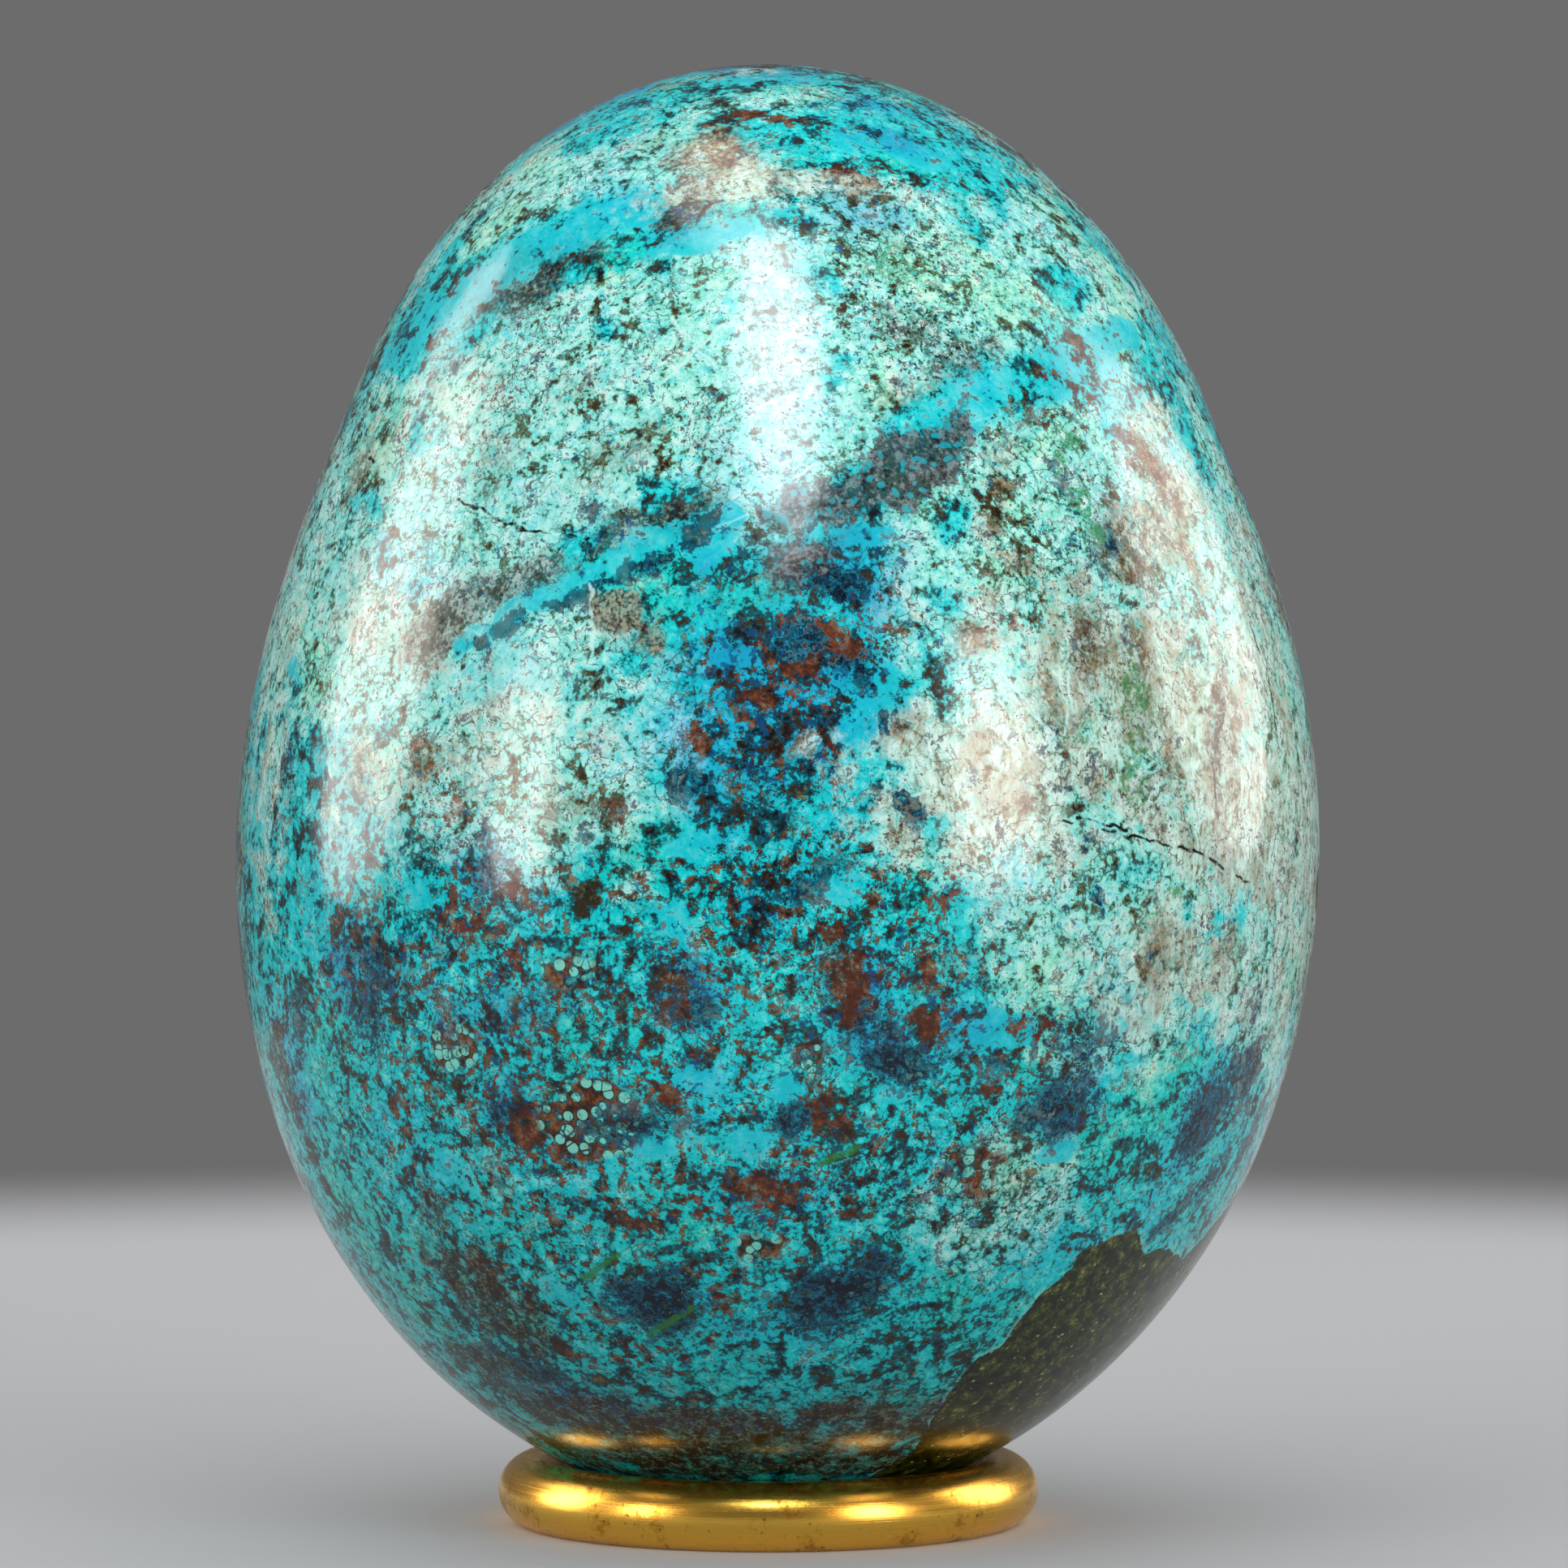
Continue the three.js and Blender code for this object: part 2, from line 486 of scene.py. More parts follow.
# %% The unbroken turquoise
turquoise_patches = [
    (760, 262, 6.0, 2.4, 20, 0.9),
    (885, 290, 5.4, 1.6, 25, 1.0),
    (700, 300, 3.0, 2.4, 30, 0.8),
    (1055, 175, 2.4, 2.0, 0, 1.0),
    (1135, 190, 4.6, 2.4, -20, 0.9),
    (1190, 502, 3.6, 2.3, 30, 1.0),
    (1310, 462, 4.6, 2.0, 38, 0.8),
    (1395, 415, 3.0, 2.0, 45, 0.8),
    (800, 665, 5.0, 1.3, 28, 0.9),
    (672, 733, 4.0, 1.0, 28, 0.9),
    (600, 785, 2.6, 0.8, 28, 0.8),
    (505, 415, 5.0, 4.2, 55, 1.0),
    (360, 822, 1.6, 3.4, 70, 0.8),
    (872, 665, 3.0, 2.6, 40, 0.8),
    (905, 805, 2.2, 2.0, 0, 0.9),
    (1058, 660, 3.2, 1.5, 15, 0.8),
    (1078, 850, 2.4, 4.6, 90, 1.0),
    (1062, 900, 2.6, 2.6, 0, 1.0),
    (850, 1040, 2.6, 2.0, 0, 0.8),
    (520, 1100, 3.0, 2.2, 0, 0.7),
    (830, 1130, 2.6, 2.2, 0, 0.6),
    (1090, 150, 8.0, 3.6, -12, 0.4),
    (1180, 200, 5.0, 3.0, -25, 0.5),
    (640, 300, 5.0, 2.0, 30, 0.6),
    (865, 1040, 2.4, 1.8, 0, 0.8),
    (1045, 1095, 1.8, 2.8, 70, 0.9),
    (866, 1330, 2.8, 2.0, 0, 0.9),
    (920, 1405, 2.4, 2.0, 0, 0.9),
    (968, 1340, 1.8, 1.6, 0, 0.8),
    (1098, 1350, 2.4, 2.0, 0, 0.8),
    (1187, 1338, 1.8, 1.5, 0, 0.9),
    (1232, 1272, 3.2, 2.6, 0, 0.8),
    (1372, 1255, 2.2, 2.4, 60, 1.0),
    (1300, 1420, 3.6, 1.3, 15, 0.9),
    (808, 1415, 3.2, 1.0, 0, 1.0),
    (950, 95, 6.0, 1.4, 0, 0.8),
    (772, 129, 3.4, 1.4, 20, 0.9),
    (690, 1600, 4.0, 3.4, -20, 0.5),
    (560, 1440, 4.0, 3.0, -50, 0.5),
    (950, 1650, 5.0, 2.4, 0, 0.5),
]
turquoise_strokes = [
    # places along the stroke, width, strength
    (seen((570, 797), (597, 782), (640, 755), (687, 731), (741, 700), (795, 673), (865, 642),
           (905, 630)), 1.3, 1.0),
    (seen((478, 440), (555, 378), (640, 322), (700, 285), (790, 262)), 2.6, 0.8),
    (seen((800, 300), (880, 292), (960, 262)), 2.2, 0.6),
    (seen((1130, 540), (1180, 505), (1250, 480), (1330, 455), (1390, 425)), 2.8, 0.6),
    (seen((1000, 650), (1040, 670), (1060, 740), (1080, 840), (1060, 910)), 2.0, 0.5),
    (seen((830, 95), (900, 85), (985, 100)), 1.6, 0.7),
]
paint("turquoise", turquoise_patches, softness=0.5, wild=(4.5, 0.12, 3), strokes=turquoise_strokes)

# %% [markdown]
# The ground between the bands isn't pale everywhere. Low down and in the middle it is saturated
# turquoise, and much of that is stained by iron. Both are painted broadly and softly.

# %% The saturated ground and the rusty ground
rich_patches = [
    (960, 850, 12, 26, 85, 1.0),
    (760, 1350, 36, 24, 0, 1.0),
    (1000, 1250, 24, 14, 0, 1.0),
    (500, 1250, 18, 26, 80, 1.0),
    (800, 1650, 30, 14, 0, 1.0),
    (1150, 1300, 12, 10, 0, 0.8),
    (1500, 1360, 8, 12, 50, 0.9),
    (1120, 165, 18, 7, -14, 1.0),
    (1180, 500, 9, 5, 30, 0.9),
    (1290, 470, 9, 5, 35, 0.9),
    (520, 430, 7, 12, -30, 0.9),
    (760, 275, 11, 5, 25, 0.9),
    (860, 240, 6, 3, 20, 1.0),
    (1340, 1245, 7, 5, 0, 1.0),
    (430, 1130, 5, 6, 0, 1.0),
    (560, 1270, 6, 5, 0, 1.0),
    (740, 690, 12, 4, 28, 0.9),
]
paint("rich", rich_patches, softness=0.5, wild=(15, 0.45, 4))

rust_patches = [
    (760, 1380, 34, 22, 0, 0.9),
    (1000, 1150, 20, 14, 0, 0.9),
    (1280, 1320, 10, 8, 0, 0.8),
    (980, 850, 9, 12, 0, 1.0),
    (1060, 215, 5, 3, 0, 1.0),
    (950, 145, 6, 1.6, 0, 1.0),
    (1320, 470, 6, 4, 30, 1.0),
    (1400, 560, 2.6, 6, 60, 0.9),
    (540, 950, 5, 6, 0, 0.7),
    (570, 1100, 5, 5, 0, 0.9),
    (1240, 770, 3, 3, 0, 0.9),
    (700, 1600, 20, 12, 0, 0.8),
    (470, 1250, 12, 20, 80, 0.7),
]
paint("rust", rust_patches, softness=0.5, wild=(17, 0.4, 5))

# %% [markdown]
# In the rusty ground there are small spots of bare brown mineral. They are what the eye picks out
# first, so each of the larger ones is painted where the photograph has it.

# %% The spots of bare brown
bare_patches = [
    (925, 141, 1.6, 0.7, -10, 1.0),
    (968, 147, 2.6, 0.7, -18, 1.0),
    (1046, 218, 2.8, 1.2, -25, 1.0),
    (1337, 433, 2.2, 1.4, -35, 1.0),
    (1280, 458, 2.4, 1.0, 10, 1.0),
    (1265, 514, 2.4, 1.6, 20, 1.0),
    (1228, 533, 2.0, 1.2, 30, 0.9),
    (1236, 600, 1.8, 1.4, 0, 0.9),
    (1225, 640, 1.4, 1.8, 10, 0.9),
    (1262, 690, 2.2, 1.4, 20, 0.8),
    (1205, 700, 1.0, 1.0, 0, 0.7),
    (1330, 760, 1.0, 2.0, 10, 0.7),
    (1270, 1105, 1.6, 1.1, 20, 0.7),
    (1180, 1090, 1.1, 1.4, 0, 0.7),
    (1410, 1180, 1.1, 1.3, 0, 0.7),
    (1290, 1170, 1.3, 0.9, 0, 0.7),
    (1402, 550, 1.3, 4.8, 35, 0.6),
    (1075, 245, 3.0, 1.2, -25, 0.9),
    (1250, 500, 2.4, 1.6, 20, 0.6),
    (1020, 778, 2.0, 2.2, 60, 1.0),
    (1058, 753, 0.9, 1.1, 0, 1.0),
    (1060, 806, 2.0, 1.0, -20, 1.0),
    (1064, 846, 1.0, 1.8, 35, 1.0),
    (985, 828, 1.3, 1.0, 20, 1.0),
    (934, 862, 1.8, 1.1, 0, 0.9),
    (866, 918, 0.8, 1.7, 25, 1.0),
    (900, 745, 0.6, 1.6, 20, 0.8),
    (1090, 783, 1.8, 0.8, 0, 0.7),
    (748, 985, 2.4, 1.6, 20, 0.9),
    (720, 1100, 2.0, 2.2, 0, 0.9),
    (590, 1150, 2.4, 1.6, 0, 0.9),
    (1160, 1110, 2.0, 1.6, 0, 0.9),
    (1075, 1110, 1.4, 1.4, 0, 0.9),
    (561, 985, 0.7, 2.4, 15, 0.8),
    (513, 912, 0.8, 2.0, -15, 0.8),
    (556, 1115, 1.0, 2.4, -10, 0.8),
    (634, 1095, 1.1, 1.2, 0, 0.8),
    (641, 1176, 1.0, 2.0, -15, 0.9),
    (492, 1361, 1.5, 0.8, 25, 1.0),
    (650, 1392, 1.6, 2.4, 0, 0.9),
    (706, 1368, 2.0, 1.0, 10, 0.8),
    (690, 1418, 2.4, 1.0, 0, 0.8),
    (350, 1306, 1.4, 3.6, 10, 0.9),
    (1028, 1146, 1.6, 0.9, 20, 0.9),
    (1055, 1190, 1.0, 1.4, 0, 0.8),
    (1036, 1214, 0.9, 1.0, 0, 1.0),
    (1052, 1246, 1.3, 2.0, 10, 0.9),
    (1142, 1205, 1.0, 2.2, -20, 0.9),
    (1140, 1262, 1.3, 1.9, 15, 1.0),
    (1193, 1315, 1.0, 0.9, 0, 1.0),
    (1258, 1273, 1.4, 1.2, -30, 1.0),
    (1214, 1345, 1.3, 0.8, 0, 0.9),
    (836, 1238, 1.9, 1.6, -30, 0.9),
    (826, 1360, 2.0, 1.6, 0, 0.9),
    (966, 1396, 0.8, 1.2, 0, 0.9),
    (1022, 1378, 2.4, 3.0, 0, 0.55),
    (1255, 1400, 1.1, 1.6, -10, 1.0),
    (1264, 1446, 1.0, 1.2, 0, 1.0),
    (966, 1480, 1.4, 1.4, 0, 0.8),
    (1055, 1494, 1.7, 1.2, -20, 0.9),
    (936, 1462, 1.6, 1.0, 0, 0.8),
    (1418, 1440, 1.4, 1.4, 0, 1.0),
    (972, 1470, 1.8, 1.4, 0, 0.8),
    (794, 1510, 2.4, 1.0, 10, 0.8),
    (900, 1600, 1.8, 1.1, 0, 0.8),
    (966, 1604, 2.4, 1.2, -15, 0.9),
    (594, 1563, 1.6, 2.8, 10, 0.8),
    (746, 1618, 0.8, 1.6, -15, 0.9),
    (702, 1668, 1.6, 1.0, -30, 0.9),
    (735, 1700, 2.6, 0.9, -15, 0.9),
    (1120, 1690, 2.4, 1.2, 30, 0.7),
    (857, 1720, 1.8, 1.0, 10, 0.7),
    (1035, 1739, 5.0, 1.7, -2, 0.8),
    (1010, 1748, 3.0, 1.2, 4, 0.8),
]
paint("bare", bare_patches, softness=0.45, wild=(3.2, 0.08, 6))

# %% [markdown]
# Smoke is dark mineral that lies just under the surface. It runs along the lower edge of the long
# turquoise band. Round the foot of the egg the same dark paint is painted shade on the underside.

# %% The smoky areas on the egg, and the painted shade round its foot
smoke_and_shade_patches = [
    (669, 339, 6.0, 3.6, 40, 1.0),
    (837, 258, 4.0, 2.6, 60, 0.9),
    (868, 625, 3.4, 2.4, 20, 1.0),
    (544, 775, 4.8, 3.0, 35, 1.0),
    (583, 728, 3.6, 2.4, 30, 0.7),
    (640, 735, 4.6, 1.2, 30, 0.7),
    (845, 640, 4.4, 1.9, 32, 1.0),
    (730, 690, 4.0, 1.2, 30, 0.7),
    (437, 607, 2.4, 5.4, -20, 0.4),
    (604, 600, 1.6, 2.6, -35, 0.6),
    (1468, 490, 2.4, 4.4, 30, 0.35),
    (700, 470, 5.0, 3.0, 30, 0.35),
    (880, 540, 3.0, 5.0, 10, 0.45),
    (1190, 440, 5.4, 2.6, 25, 0.7),
    (1120, 400, 4.4, 3.6, 0, 0.6),
    (1100, 300, 3.0, 4.0, 0, 0.5),
    (975, 700, 4.4, 3.4, 30, 0.8),
    (640, 730, 2.0, 2.0, 0, 0.4),
    (1290, 640, 6.0, 3.0, -50, 0.35),
    (1340, 800, 3.0, 9.0, 10, 0.5),
    (1420, 960, 2.4, 6.0, 0, 0.55),
    (1350, 980, 3.0, 3.0, 0, 0.4),
    (1510, 1175, 3.0, 4.0, 0, 0.55),
    (1495, 950, 1.2, 6.0, 5, 0.6),
    (560, 1170, 9.0, 2.6, -5, 0.5),
    (640, 1250, 9.0, 4.0, 10, 0.4),
    (480, 1200, 5.0, 7.0, 60, 0.45),
    (590, 1560, 5.0, 6.0, 20, 0.7),
    (1110, 1460, 4.0, 4.0, 0, 0.5),
    (1400, 880, 2.0, 5.0, 0, 0.4),
    (845, 1230, 4.0, 3.0, 0, 0.5),
    (1130, 1230, 2.4, 4.0, 0, 0.4),
    (740, 1000, 4.0, 3.0, 0, 0.4),
    (1030, 1180, 2.6, 5.0, 0, 0.5),
    (960, 1000, 4.0, 9.0, 0, 0.35),
    # these five patches are painted shade round the foot of the egg
    (1100, 1715, 6.0, 3.0, 10, 0.6),
    (760, 1710, 8.0, 3.0, -20, 0.5),
    (880, 1765, 24.0, 4.0, 0, 0.55),
    (1035, 1740, 6.0, 2.4, 0, 0.8),
    (1150, 1740, 3.0, 3.0, 40, 0.8),
]
smoke_and_shade_strokes = [
    (seen((540, 768), (600, 738), (680, 698), (760, 655), (845, 618)), 2.2, 0.95),
    (seen((600, 372), (655, 342), (720, 316)), 3.2, 0.8),
    (seen((835, 290), (850, 240), (835, 200)), 2.4, 0.6),
    # the next two strokes are painted shade along the foot of the egg
    (seen((600, 1680), (700, 1735), (800, 1765), (900, 1775), (1080, 1770)), 4.6, 1.1),
    (seen((700, 1782), (800, 1798), (950, 1806), (1080, 1796)), 3.0, 1.1),
    (seen((540, 1520), (580, 1590), (640, 1640)), 4.0, 0.9),
    (seen((340, 1290), (360, 1360)), 2.6, 0.9),
    (seen((1500, 860), (1498, 1000)), 1.0, 0.9),
]
paint("smoke", smoke_and_shade_patches, softness=0.9, wild=(5, 0.2, 11), strokes=smoke_and_shade_strokes)

# %% [markdown]
# A thin brown stain lies over much of the pale mineral, mostly on the right.

# %% The stain on the pale mineral
stain_patches = [
    (1290, 715, 3.0, 3.4, -40, 0.5),
    (1400, 700, 3.0, 6.0, 20, 0.9),
    (1440, 600, 2.4, 6.0, 25, 0.8),
    (1345, 800, 8.0, 2.8, 85, 0.9),
    (1425, 655, 5.0, 2.6, -60, 0.8),
    (1400, 885, 7.0, 3.0, 85, 0.8),
    (1447, 790, 6.0, 2.2, 80, 0.7),
    (1195, 785, 3.4, 2.6, 0, 0.8),
    (1345, 985, 4.4, 3.0, 0, 0.7),
    (1440, 1170, 6.0, 4.0, 0, 0.7),
    (1520, 1150, 5.0, 2.6, 80, 0.7),
    (1470, 480, 5.0, 2.4, -60, 0.4),
    (1480, 620, 5.0, 2.0, -65, 0.6),
    (1375, 700, 6.0, 2.0, -60, 0.9),
    (1400, 800, 7.0, 2.2, 80, 0.9),
    (1300, 870, 5.0, 1.6, -70, 0.8),
    (1440, 930, 6.0, 1.8, 80, 0.8),
    (1515, 880, 8.0, 2.4, 85, 0.9),
    (1500, 1040, 5.0, 2.4, 85, 0.8),
    (1470, 700, 5.0, 2.0, -70, 0.8),
    (1240, 560, 3.4, 2.0, 20, 0.7),
    (1115, 485, 4.0, 2.0, 25, 0.8),
    (790, 780, 4.0, 3.4, 0, 0.8),
    (1210, 620, 5.0, 3.4, 30, 0.6),
    (880, 185, 5.4, 3.6, 30, 1.0),
    (800, 175, 3.4, 2.4, 0, 0.5),
    (440, 590, 6.0, 2.6, 70, 0.8),
    (620, 545, 5.0, 3.6, 30, 0.5),
    (760, 560, 6.0, 3.4, 30, 0.6),
    (700, 480, 4.4, 2.6, 20, 0.5),
    (530, 940, 3.0, 4.4, 0, 0.8),
    (440, 960, 3.4, 5.0, 0, 0.6),
    (620, 810, 5.0, 3.0, 0, 0.4),
    (760, 900, 4.0, 4.0, 0, 0.5),
    (690, 990, 4.0, 3.4, 0, 0.6),
    (1180, 1180, 4.0, 3.0, 0, 0.6),
    (1260, 1460, 5.0, 3.0, 20, 0.6),
    (560, 1150, 6.0, 4.0, 0, 0.5),
    (330, 900, 1.6, 5.0, 0, 0.8),
]
stain_far = [
    (84, 52, 9, 16, 0, 0.8),
    (104, 34, 12, 9, 0, 0.7),
    (-84, 40, 8, 18, 0, 0.8),
]
paint("stain", stain_patches, softness=0.8, wild=(6, 0.2, 13), far_patches=stain_far)

# %% Where round grains float in the rust
bead_patches = [
    (725, 1380, 5.4, 4.0, 10, 1.0),
    (560, 1290, 3.4, 2.4, 0, 0.7),
    (1010, 1300, 2.6, 2.4, 0, 0.6),
    (930, 1540, 3.0, 2.0, 0, 0.6),
    (690, 1190, 3.6, 3.0, 0, 0.6),
    (1210, 1440, 5.0, 3.4, 20, 0.6),
    (620, 1460, 3.0, 2.4, 0, 0.5),
]
paint("beads", bead_patches, softness=0.6, wild=(4, 0.08, 12))

# %% [markdown]
# Pools are spots of clear, deep blue-green mineral that let the eye into the stone. They are small
# and many, and a few are drawn out along the edges of the bands.

# %% The deep translucent pools
pool_patches = [
    (1020, 715, 3.4, 2.6, 10, 1.0),
    (1060, 830, 3.0, 3.6, 0, 0.6),
    (1185, 172, 3.4, 1.6, -20, 0.6),
    (1130, 165, 2.4, 1.4, 0, 0.5),
    (720, 645, 2.0, 2.0, 0, 0.6),
    (860, 650, 2.6, 1.8, 30, 0.7),
    (370, 1240, 2.6, 4.4, 0, 0.7),
    (355, 940, 1.4, 3.0, 0, 0.7),
    (1330, 1290, 4.4, 4.4, 0, 0.6),
    (1500, 1440, 5.0, 3.0, 50, 0.6),
    (1070, 1285, 6.0, 4.0, 10, 0.5),
    (1300, 1362, 6.0, 4.0, 30, 0.65),
    (450, 1260, 5.0, 4.0, 60, 0.5),
    (800, 1600, 6.0, 5.0, 0, 0.6),
    (1040, 1590, 9.0, 4.6, 25, 0.6),
    (560, 450, 2.0, 2.0, 0, 0.3),
    (500, 420, 2.4, 3.6, -30, 0.5),
    (1032, 727, 2.6, 2.0, 20, 1.0),
    (985, 790, 3.0, 2.4, 0, 0.55),
    (597, 1062, 1.8, 4.2, 0, 0.75),
    (842, 965, 3.0, 1.8, 0, 0.7),
    (1122, 995, 1.3, 2.8, 35, 0.95),
    (1085, 890, 1.0, 2.0, -30, 0.85),
    (980, 1094, 2.2, 1.4, 25, 0.7),
    (1018, 1072, 2.2, 1.4, 25, 0.7),
    (868, 1246, 2.8, 1.8, -10, 0.75),
    (1112, 1312, 3.4, 2.8, 0, 0.95),
    (1228, 1312, 1.8, 1.6, 0, 0.6),
    (798, 1386, 5.0, 1.8, 0, 0.85),
    (973, 1378, 2.0, 1.8, 0, 0.7),
    (1300, 1388, 2.6, 1.2, 45, 1.0),
    (1508, 1345, 9.0, 5.0, 55, 0.75),
    (1540, 1315, 3.6, 4.4, 40, 1.0),
    (1474, 1384, 4.0, 2.2, 48, 0.95),
    (1437, 1503, 3.4, 1.5, 38, 1.0),
    (1540, 1400, 2.2, 6.0, -25, 0.7),
    (806, 1606, 4.2, 4.2, 0, 0.95),
    (1036, 1590, 7.2, 3.2, 25, 1.0),
    (1090, 1560, 3.0, 2.0, 25, 0.7),
    (655, 1684, 4.6, 2.0, -28, 0.8),
    (416, 1290, 1.6, 2.0, 0, 0.7),
    (460, 1240, 1.8, 2.2, 0, 0.7),
    (468, 1186, 2.0, 1.6, 0, 0.7),
    (613, 1375, 2.0, 1.6, 40, 0.7),
    (760, 1270, 2.0, 1.6, 0, 0.5),
    (772, 129, 2.8, 1.2, 20, 0.8),
    (500, 400, 1.8, 2.8, -20, 0.6),
    (1372, 1290, 1.6, 2.2, 0, 0.6),
    (720, 1024, 1.5, 1.5, 0, 0.5),
    (1400, 1340, 1.4, 1.0, 0, 0.5),
    (1315, 967, 1.2, 2.4, 0, 0.35),
    (1353, 1108, 0.9, 2.6, 35, 0.8),
    (568, 589, 0.9, 0.9, 0, 0.7),
    (566, 674, 1.4, 0.7, 50, 0.8),
    (595, 817, 0.9, 0.7, 0, 0.7),
    (1322, 668, 1.7, 1.0, 0, 0.7),
    (1368, 672, 1.0, 1.8, 0, 0.7),
]
pool_strokes = [
    (seen((1290, 560), (1312, 620), (1350, 690), (1392, 775)), 1.2, 0.4),
    (seen((1300, 900), (1312, 960), (1330, 1010), (1345, 1060)), 1.0, 0.4),
    (seen((1395, 1040), (1420, 1100), (1400, 1150)), 1.0, 0.4),
    (seen((1500, 1300), (1545, 1310), (1530, 1400)), 1.6, 0.5),
    (seen((1180, 930), (1215, 985), (1240, 1040)), 0.8, 0.5),
    (seen((560, 808), (620, 778), (700, 738), (780, 702), (850, 670)), 0.9, 0.75),
]
paint("pool", pool_patches, softness=0.8, wild=(3.6, 0.06, 7), strokes=pool_strokes)

# %% Where the ground as a whole is deeper and bluer
deep_patches = [
    (950, 860, 9.0, 13.0, 0, 1.0),
    (880, 985, 4.0, 3.0, 0, 0.8),
    (849, 1227, 4.0, 3.6, 0, 0.9),
    (1075, 1283, 4.4, 3.4, 0, 0.9),
    (1321, 1359, 5.0, 3.6, 30, 0.9),
    (1480, 1370, 3.4, 5.0, -30, 0.9),
    (811, 1604, 4.6, 3.6, 0, 0.9),
    (1025, 1590, 6.0, 3.6, 25, 0.9),
    (434, 1200, 5.0, 6.0, 60, 0.9),
    (640, 1370, 4.0, 3.4, 0, 0.8),
    (370, 1350, 3.0, 5.0, 0, 0.9),
    (960, 1470, 5.0, 2.4, 0, 0.7),
    (620, 1250, 7.0, 3.0, 10, 0.6),
    (585, 1070, 3.0, 3.0, 0, 0.7),
    (700, 1720, 8.0, 3.0, -20, 0.9),
    (1080, 130, 6.0, 2.2, -15, 0.8),
    (1040, 700, 5.0, 5.0, 0, 0.9),
    (1060, 260, 4.0, 3.0, -20, 0.8),
    (850, 270, 4.0, 2.0, 20, 0.6),
    (1060, 1190, 3.0, 4.0, 0, 0.7),
    (1189, 1264, 3.4, 3.0, 0, 0.7),
    (1040, 230, 4.0, 1.6, -20, 0.9),
    (1100, 170, 5.0, 2.0, -15, 0.8),
    (930, 1130, 3.4, 3.0, 0, 0.6),
]
paint("deep", deep_patches, softness=0.8, wild=(8, 0.14, 15))

# %% Where the grains are larger and cleaner than round about
bright_patches = [
    (885, 1045, 4.0, 3.4, 0, 1.0),
    (700, 1110, 4.0, 3.0, 0, 0.8),
    (1330, 960, 2.6, 3.0, 0, 0.8),
    (1145, 1135, 3.0, 3.0, 0, 0.9),
    (1420, 1370, 3.4, 3.0, 40, 0.9),
    (1170, 1450, 4.0, 3.4, 0, 0.9),
    (1130, 1600, 4.0, 3.0, 30, 0.9),
    (1500, 1230, 2.6, 3.4, 0, 0.9),
    (740, 1590, 3.4, 2.4, 0, 0.7),
    (1080, 480, 3.0, 2.4, 20, 0.8),
    (700, 1250, 5.0, 3.0, 0, 0.6),
    (664, 1450, 5.0, 3.6, 0, 0.8),
    (1230, 1440, 4.0, 3.4, 0, 0.8),
    (664, 1565, 4.0, 3.0, 0, 0.8),
    (1400, 1320, 3.0, 3.0, 0, 0.8),
    (785, 1450, 4.0, 3.0, 0, 0.6),
    (1027, 1450, 3.0, 2.4, 0, 0.6),
    (900, 1330, 5.0, 3.0, 0, 0.6),
    (560, 1200, 4.0, 3.0, 0, 0.6),
    (1340, 1420, 3.0, 2.4, 20, 0.7),
]
paint("bright", bright_patches, softness=0.7, wild=(5, 0.15, 14))

# %% [markdown]
# The last minerals are the rare ones: dark speckle, a green stain, one lens of slate grey with
# turquoise dots in it, one grey-brown disc, and the corner of host rock with its sharp outline.

# %% The dark speckle and the green stain
speckle_patches = [
    (1120, 350, 9, 8, 0, 0.9),
    (1150, 430, 5, 3.5, 20, 1.0),
    (1100, 1450, 8, 6, 30, 1.0),
    (1230, 1470, 12, 8, 30, 0.8),
    (860, 540, 3, 5, 0, 0.7),
    (1240, 650, 10, 10, 0, 0.6),
    (950, 1180, 10, 8, 0, 0.5),
    (560, 1180, 16, 10, 0, 0.6),
    (700, 450, 12, 9, 30, 0.4),
    (690, 1560, 10, 6, 0, 0.3),
    (1050, 1130, 9, 9, 0, 0.6),
    (760, 770, 5, 3.5, 0, 0.6),
]
paint("speckle", speckle_patches, softness=0.6, wild=(8, 0.35, 8))

green_patches = [
    (1105, 330, 4, 4, 0, 0.6),
    (1313, 590, 1.6, 3.6, 0, 0.9),
    (1400, 945, 2.0, 4.6, -15, 0.9),
    (1446, 1098, 1.2, 1.0, 0, 0.8),
    (1422, 1122, 1.4, 1.4, 0, 0.6),
    (1467, 1302, 3.0, 1.0, 20, 0.8),
    (1320, 545, 1.6, 1.8, 0, 0.8),
    (1345, 640, 1.6, 3.4, 20, 0.9),
    (1400, 860, 2.0, 4.0, 0, 0.8),
    (1340, 900, 1.6, 2.6, 0, 0.6),
    (1530, 1330, 2.6, 2.0, 40, 0.6),
    (1375, 1305, 1.6, 2.0, 0, 0.6),
    (728, 850, 2.4, 1.8, 0, 0.4),
    (440, 560, 3.0, 7.0, -20, 0.4),
]
paint("green", green_patches, softness=0.6, wild=(5, 0.06, 9))

# %% The slate lens and the ringed disc
lens_patches = [
    (1040, 606, 7.0, 3.2, 22, 1.0),
    (1135, 570, 5.0, 3.6, 35, 1.0),
    (997, 690, 3.8, 2.4, 30, 0.75),
    (945, 620, 1.6, 2.2, 0, 0.45),
]
lens_strokes = [
    (seen((978, 632), (1050, 604), (1120, 576), (1170, 545)), 2.6, 1.0),
]
paint("lens", lens_patches, softness=0.7, strokes=lens_strokes)

disc_patches = [(764, 750, 3.0, 2.3, -15, 1.0), (805, 790, 2.6, 2.0, 0, 0.7)]
paint("disc", disc_patches, softness=0.9)

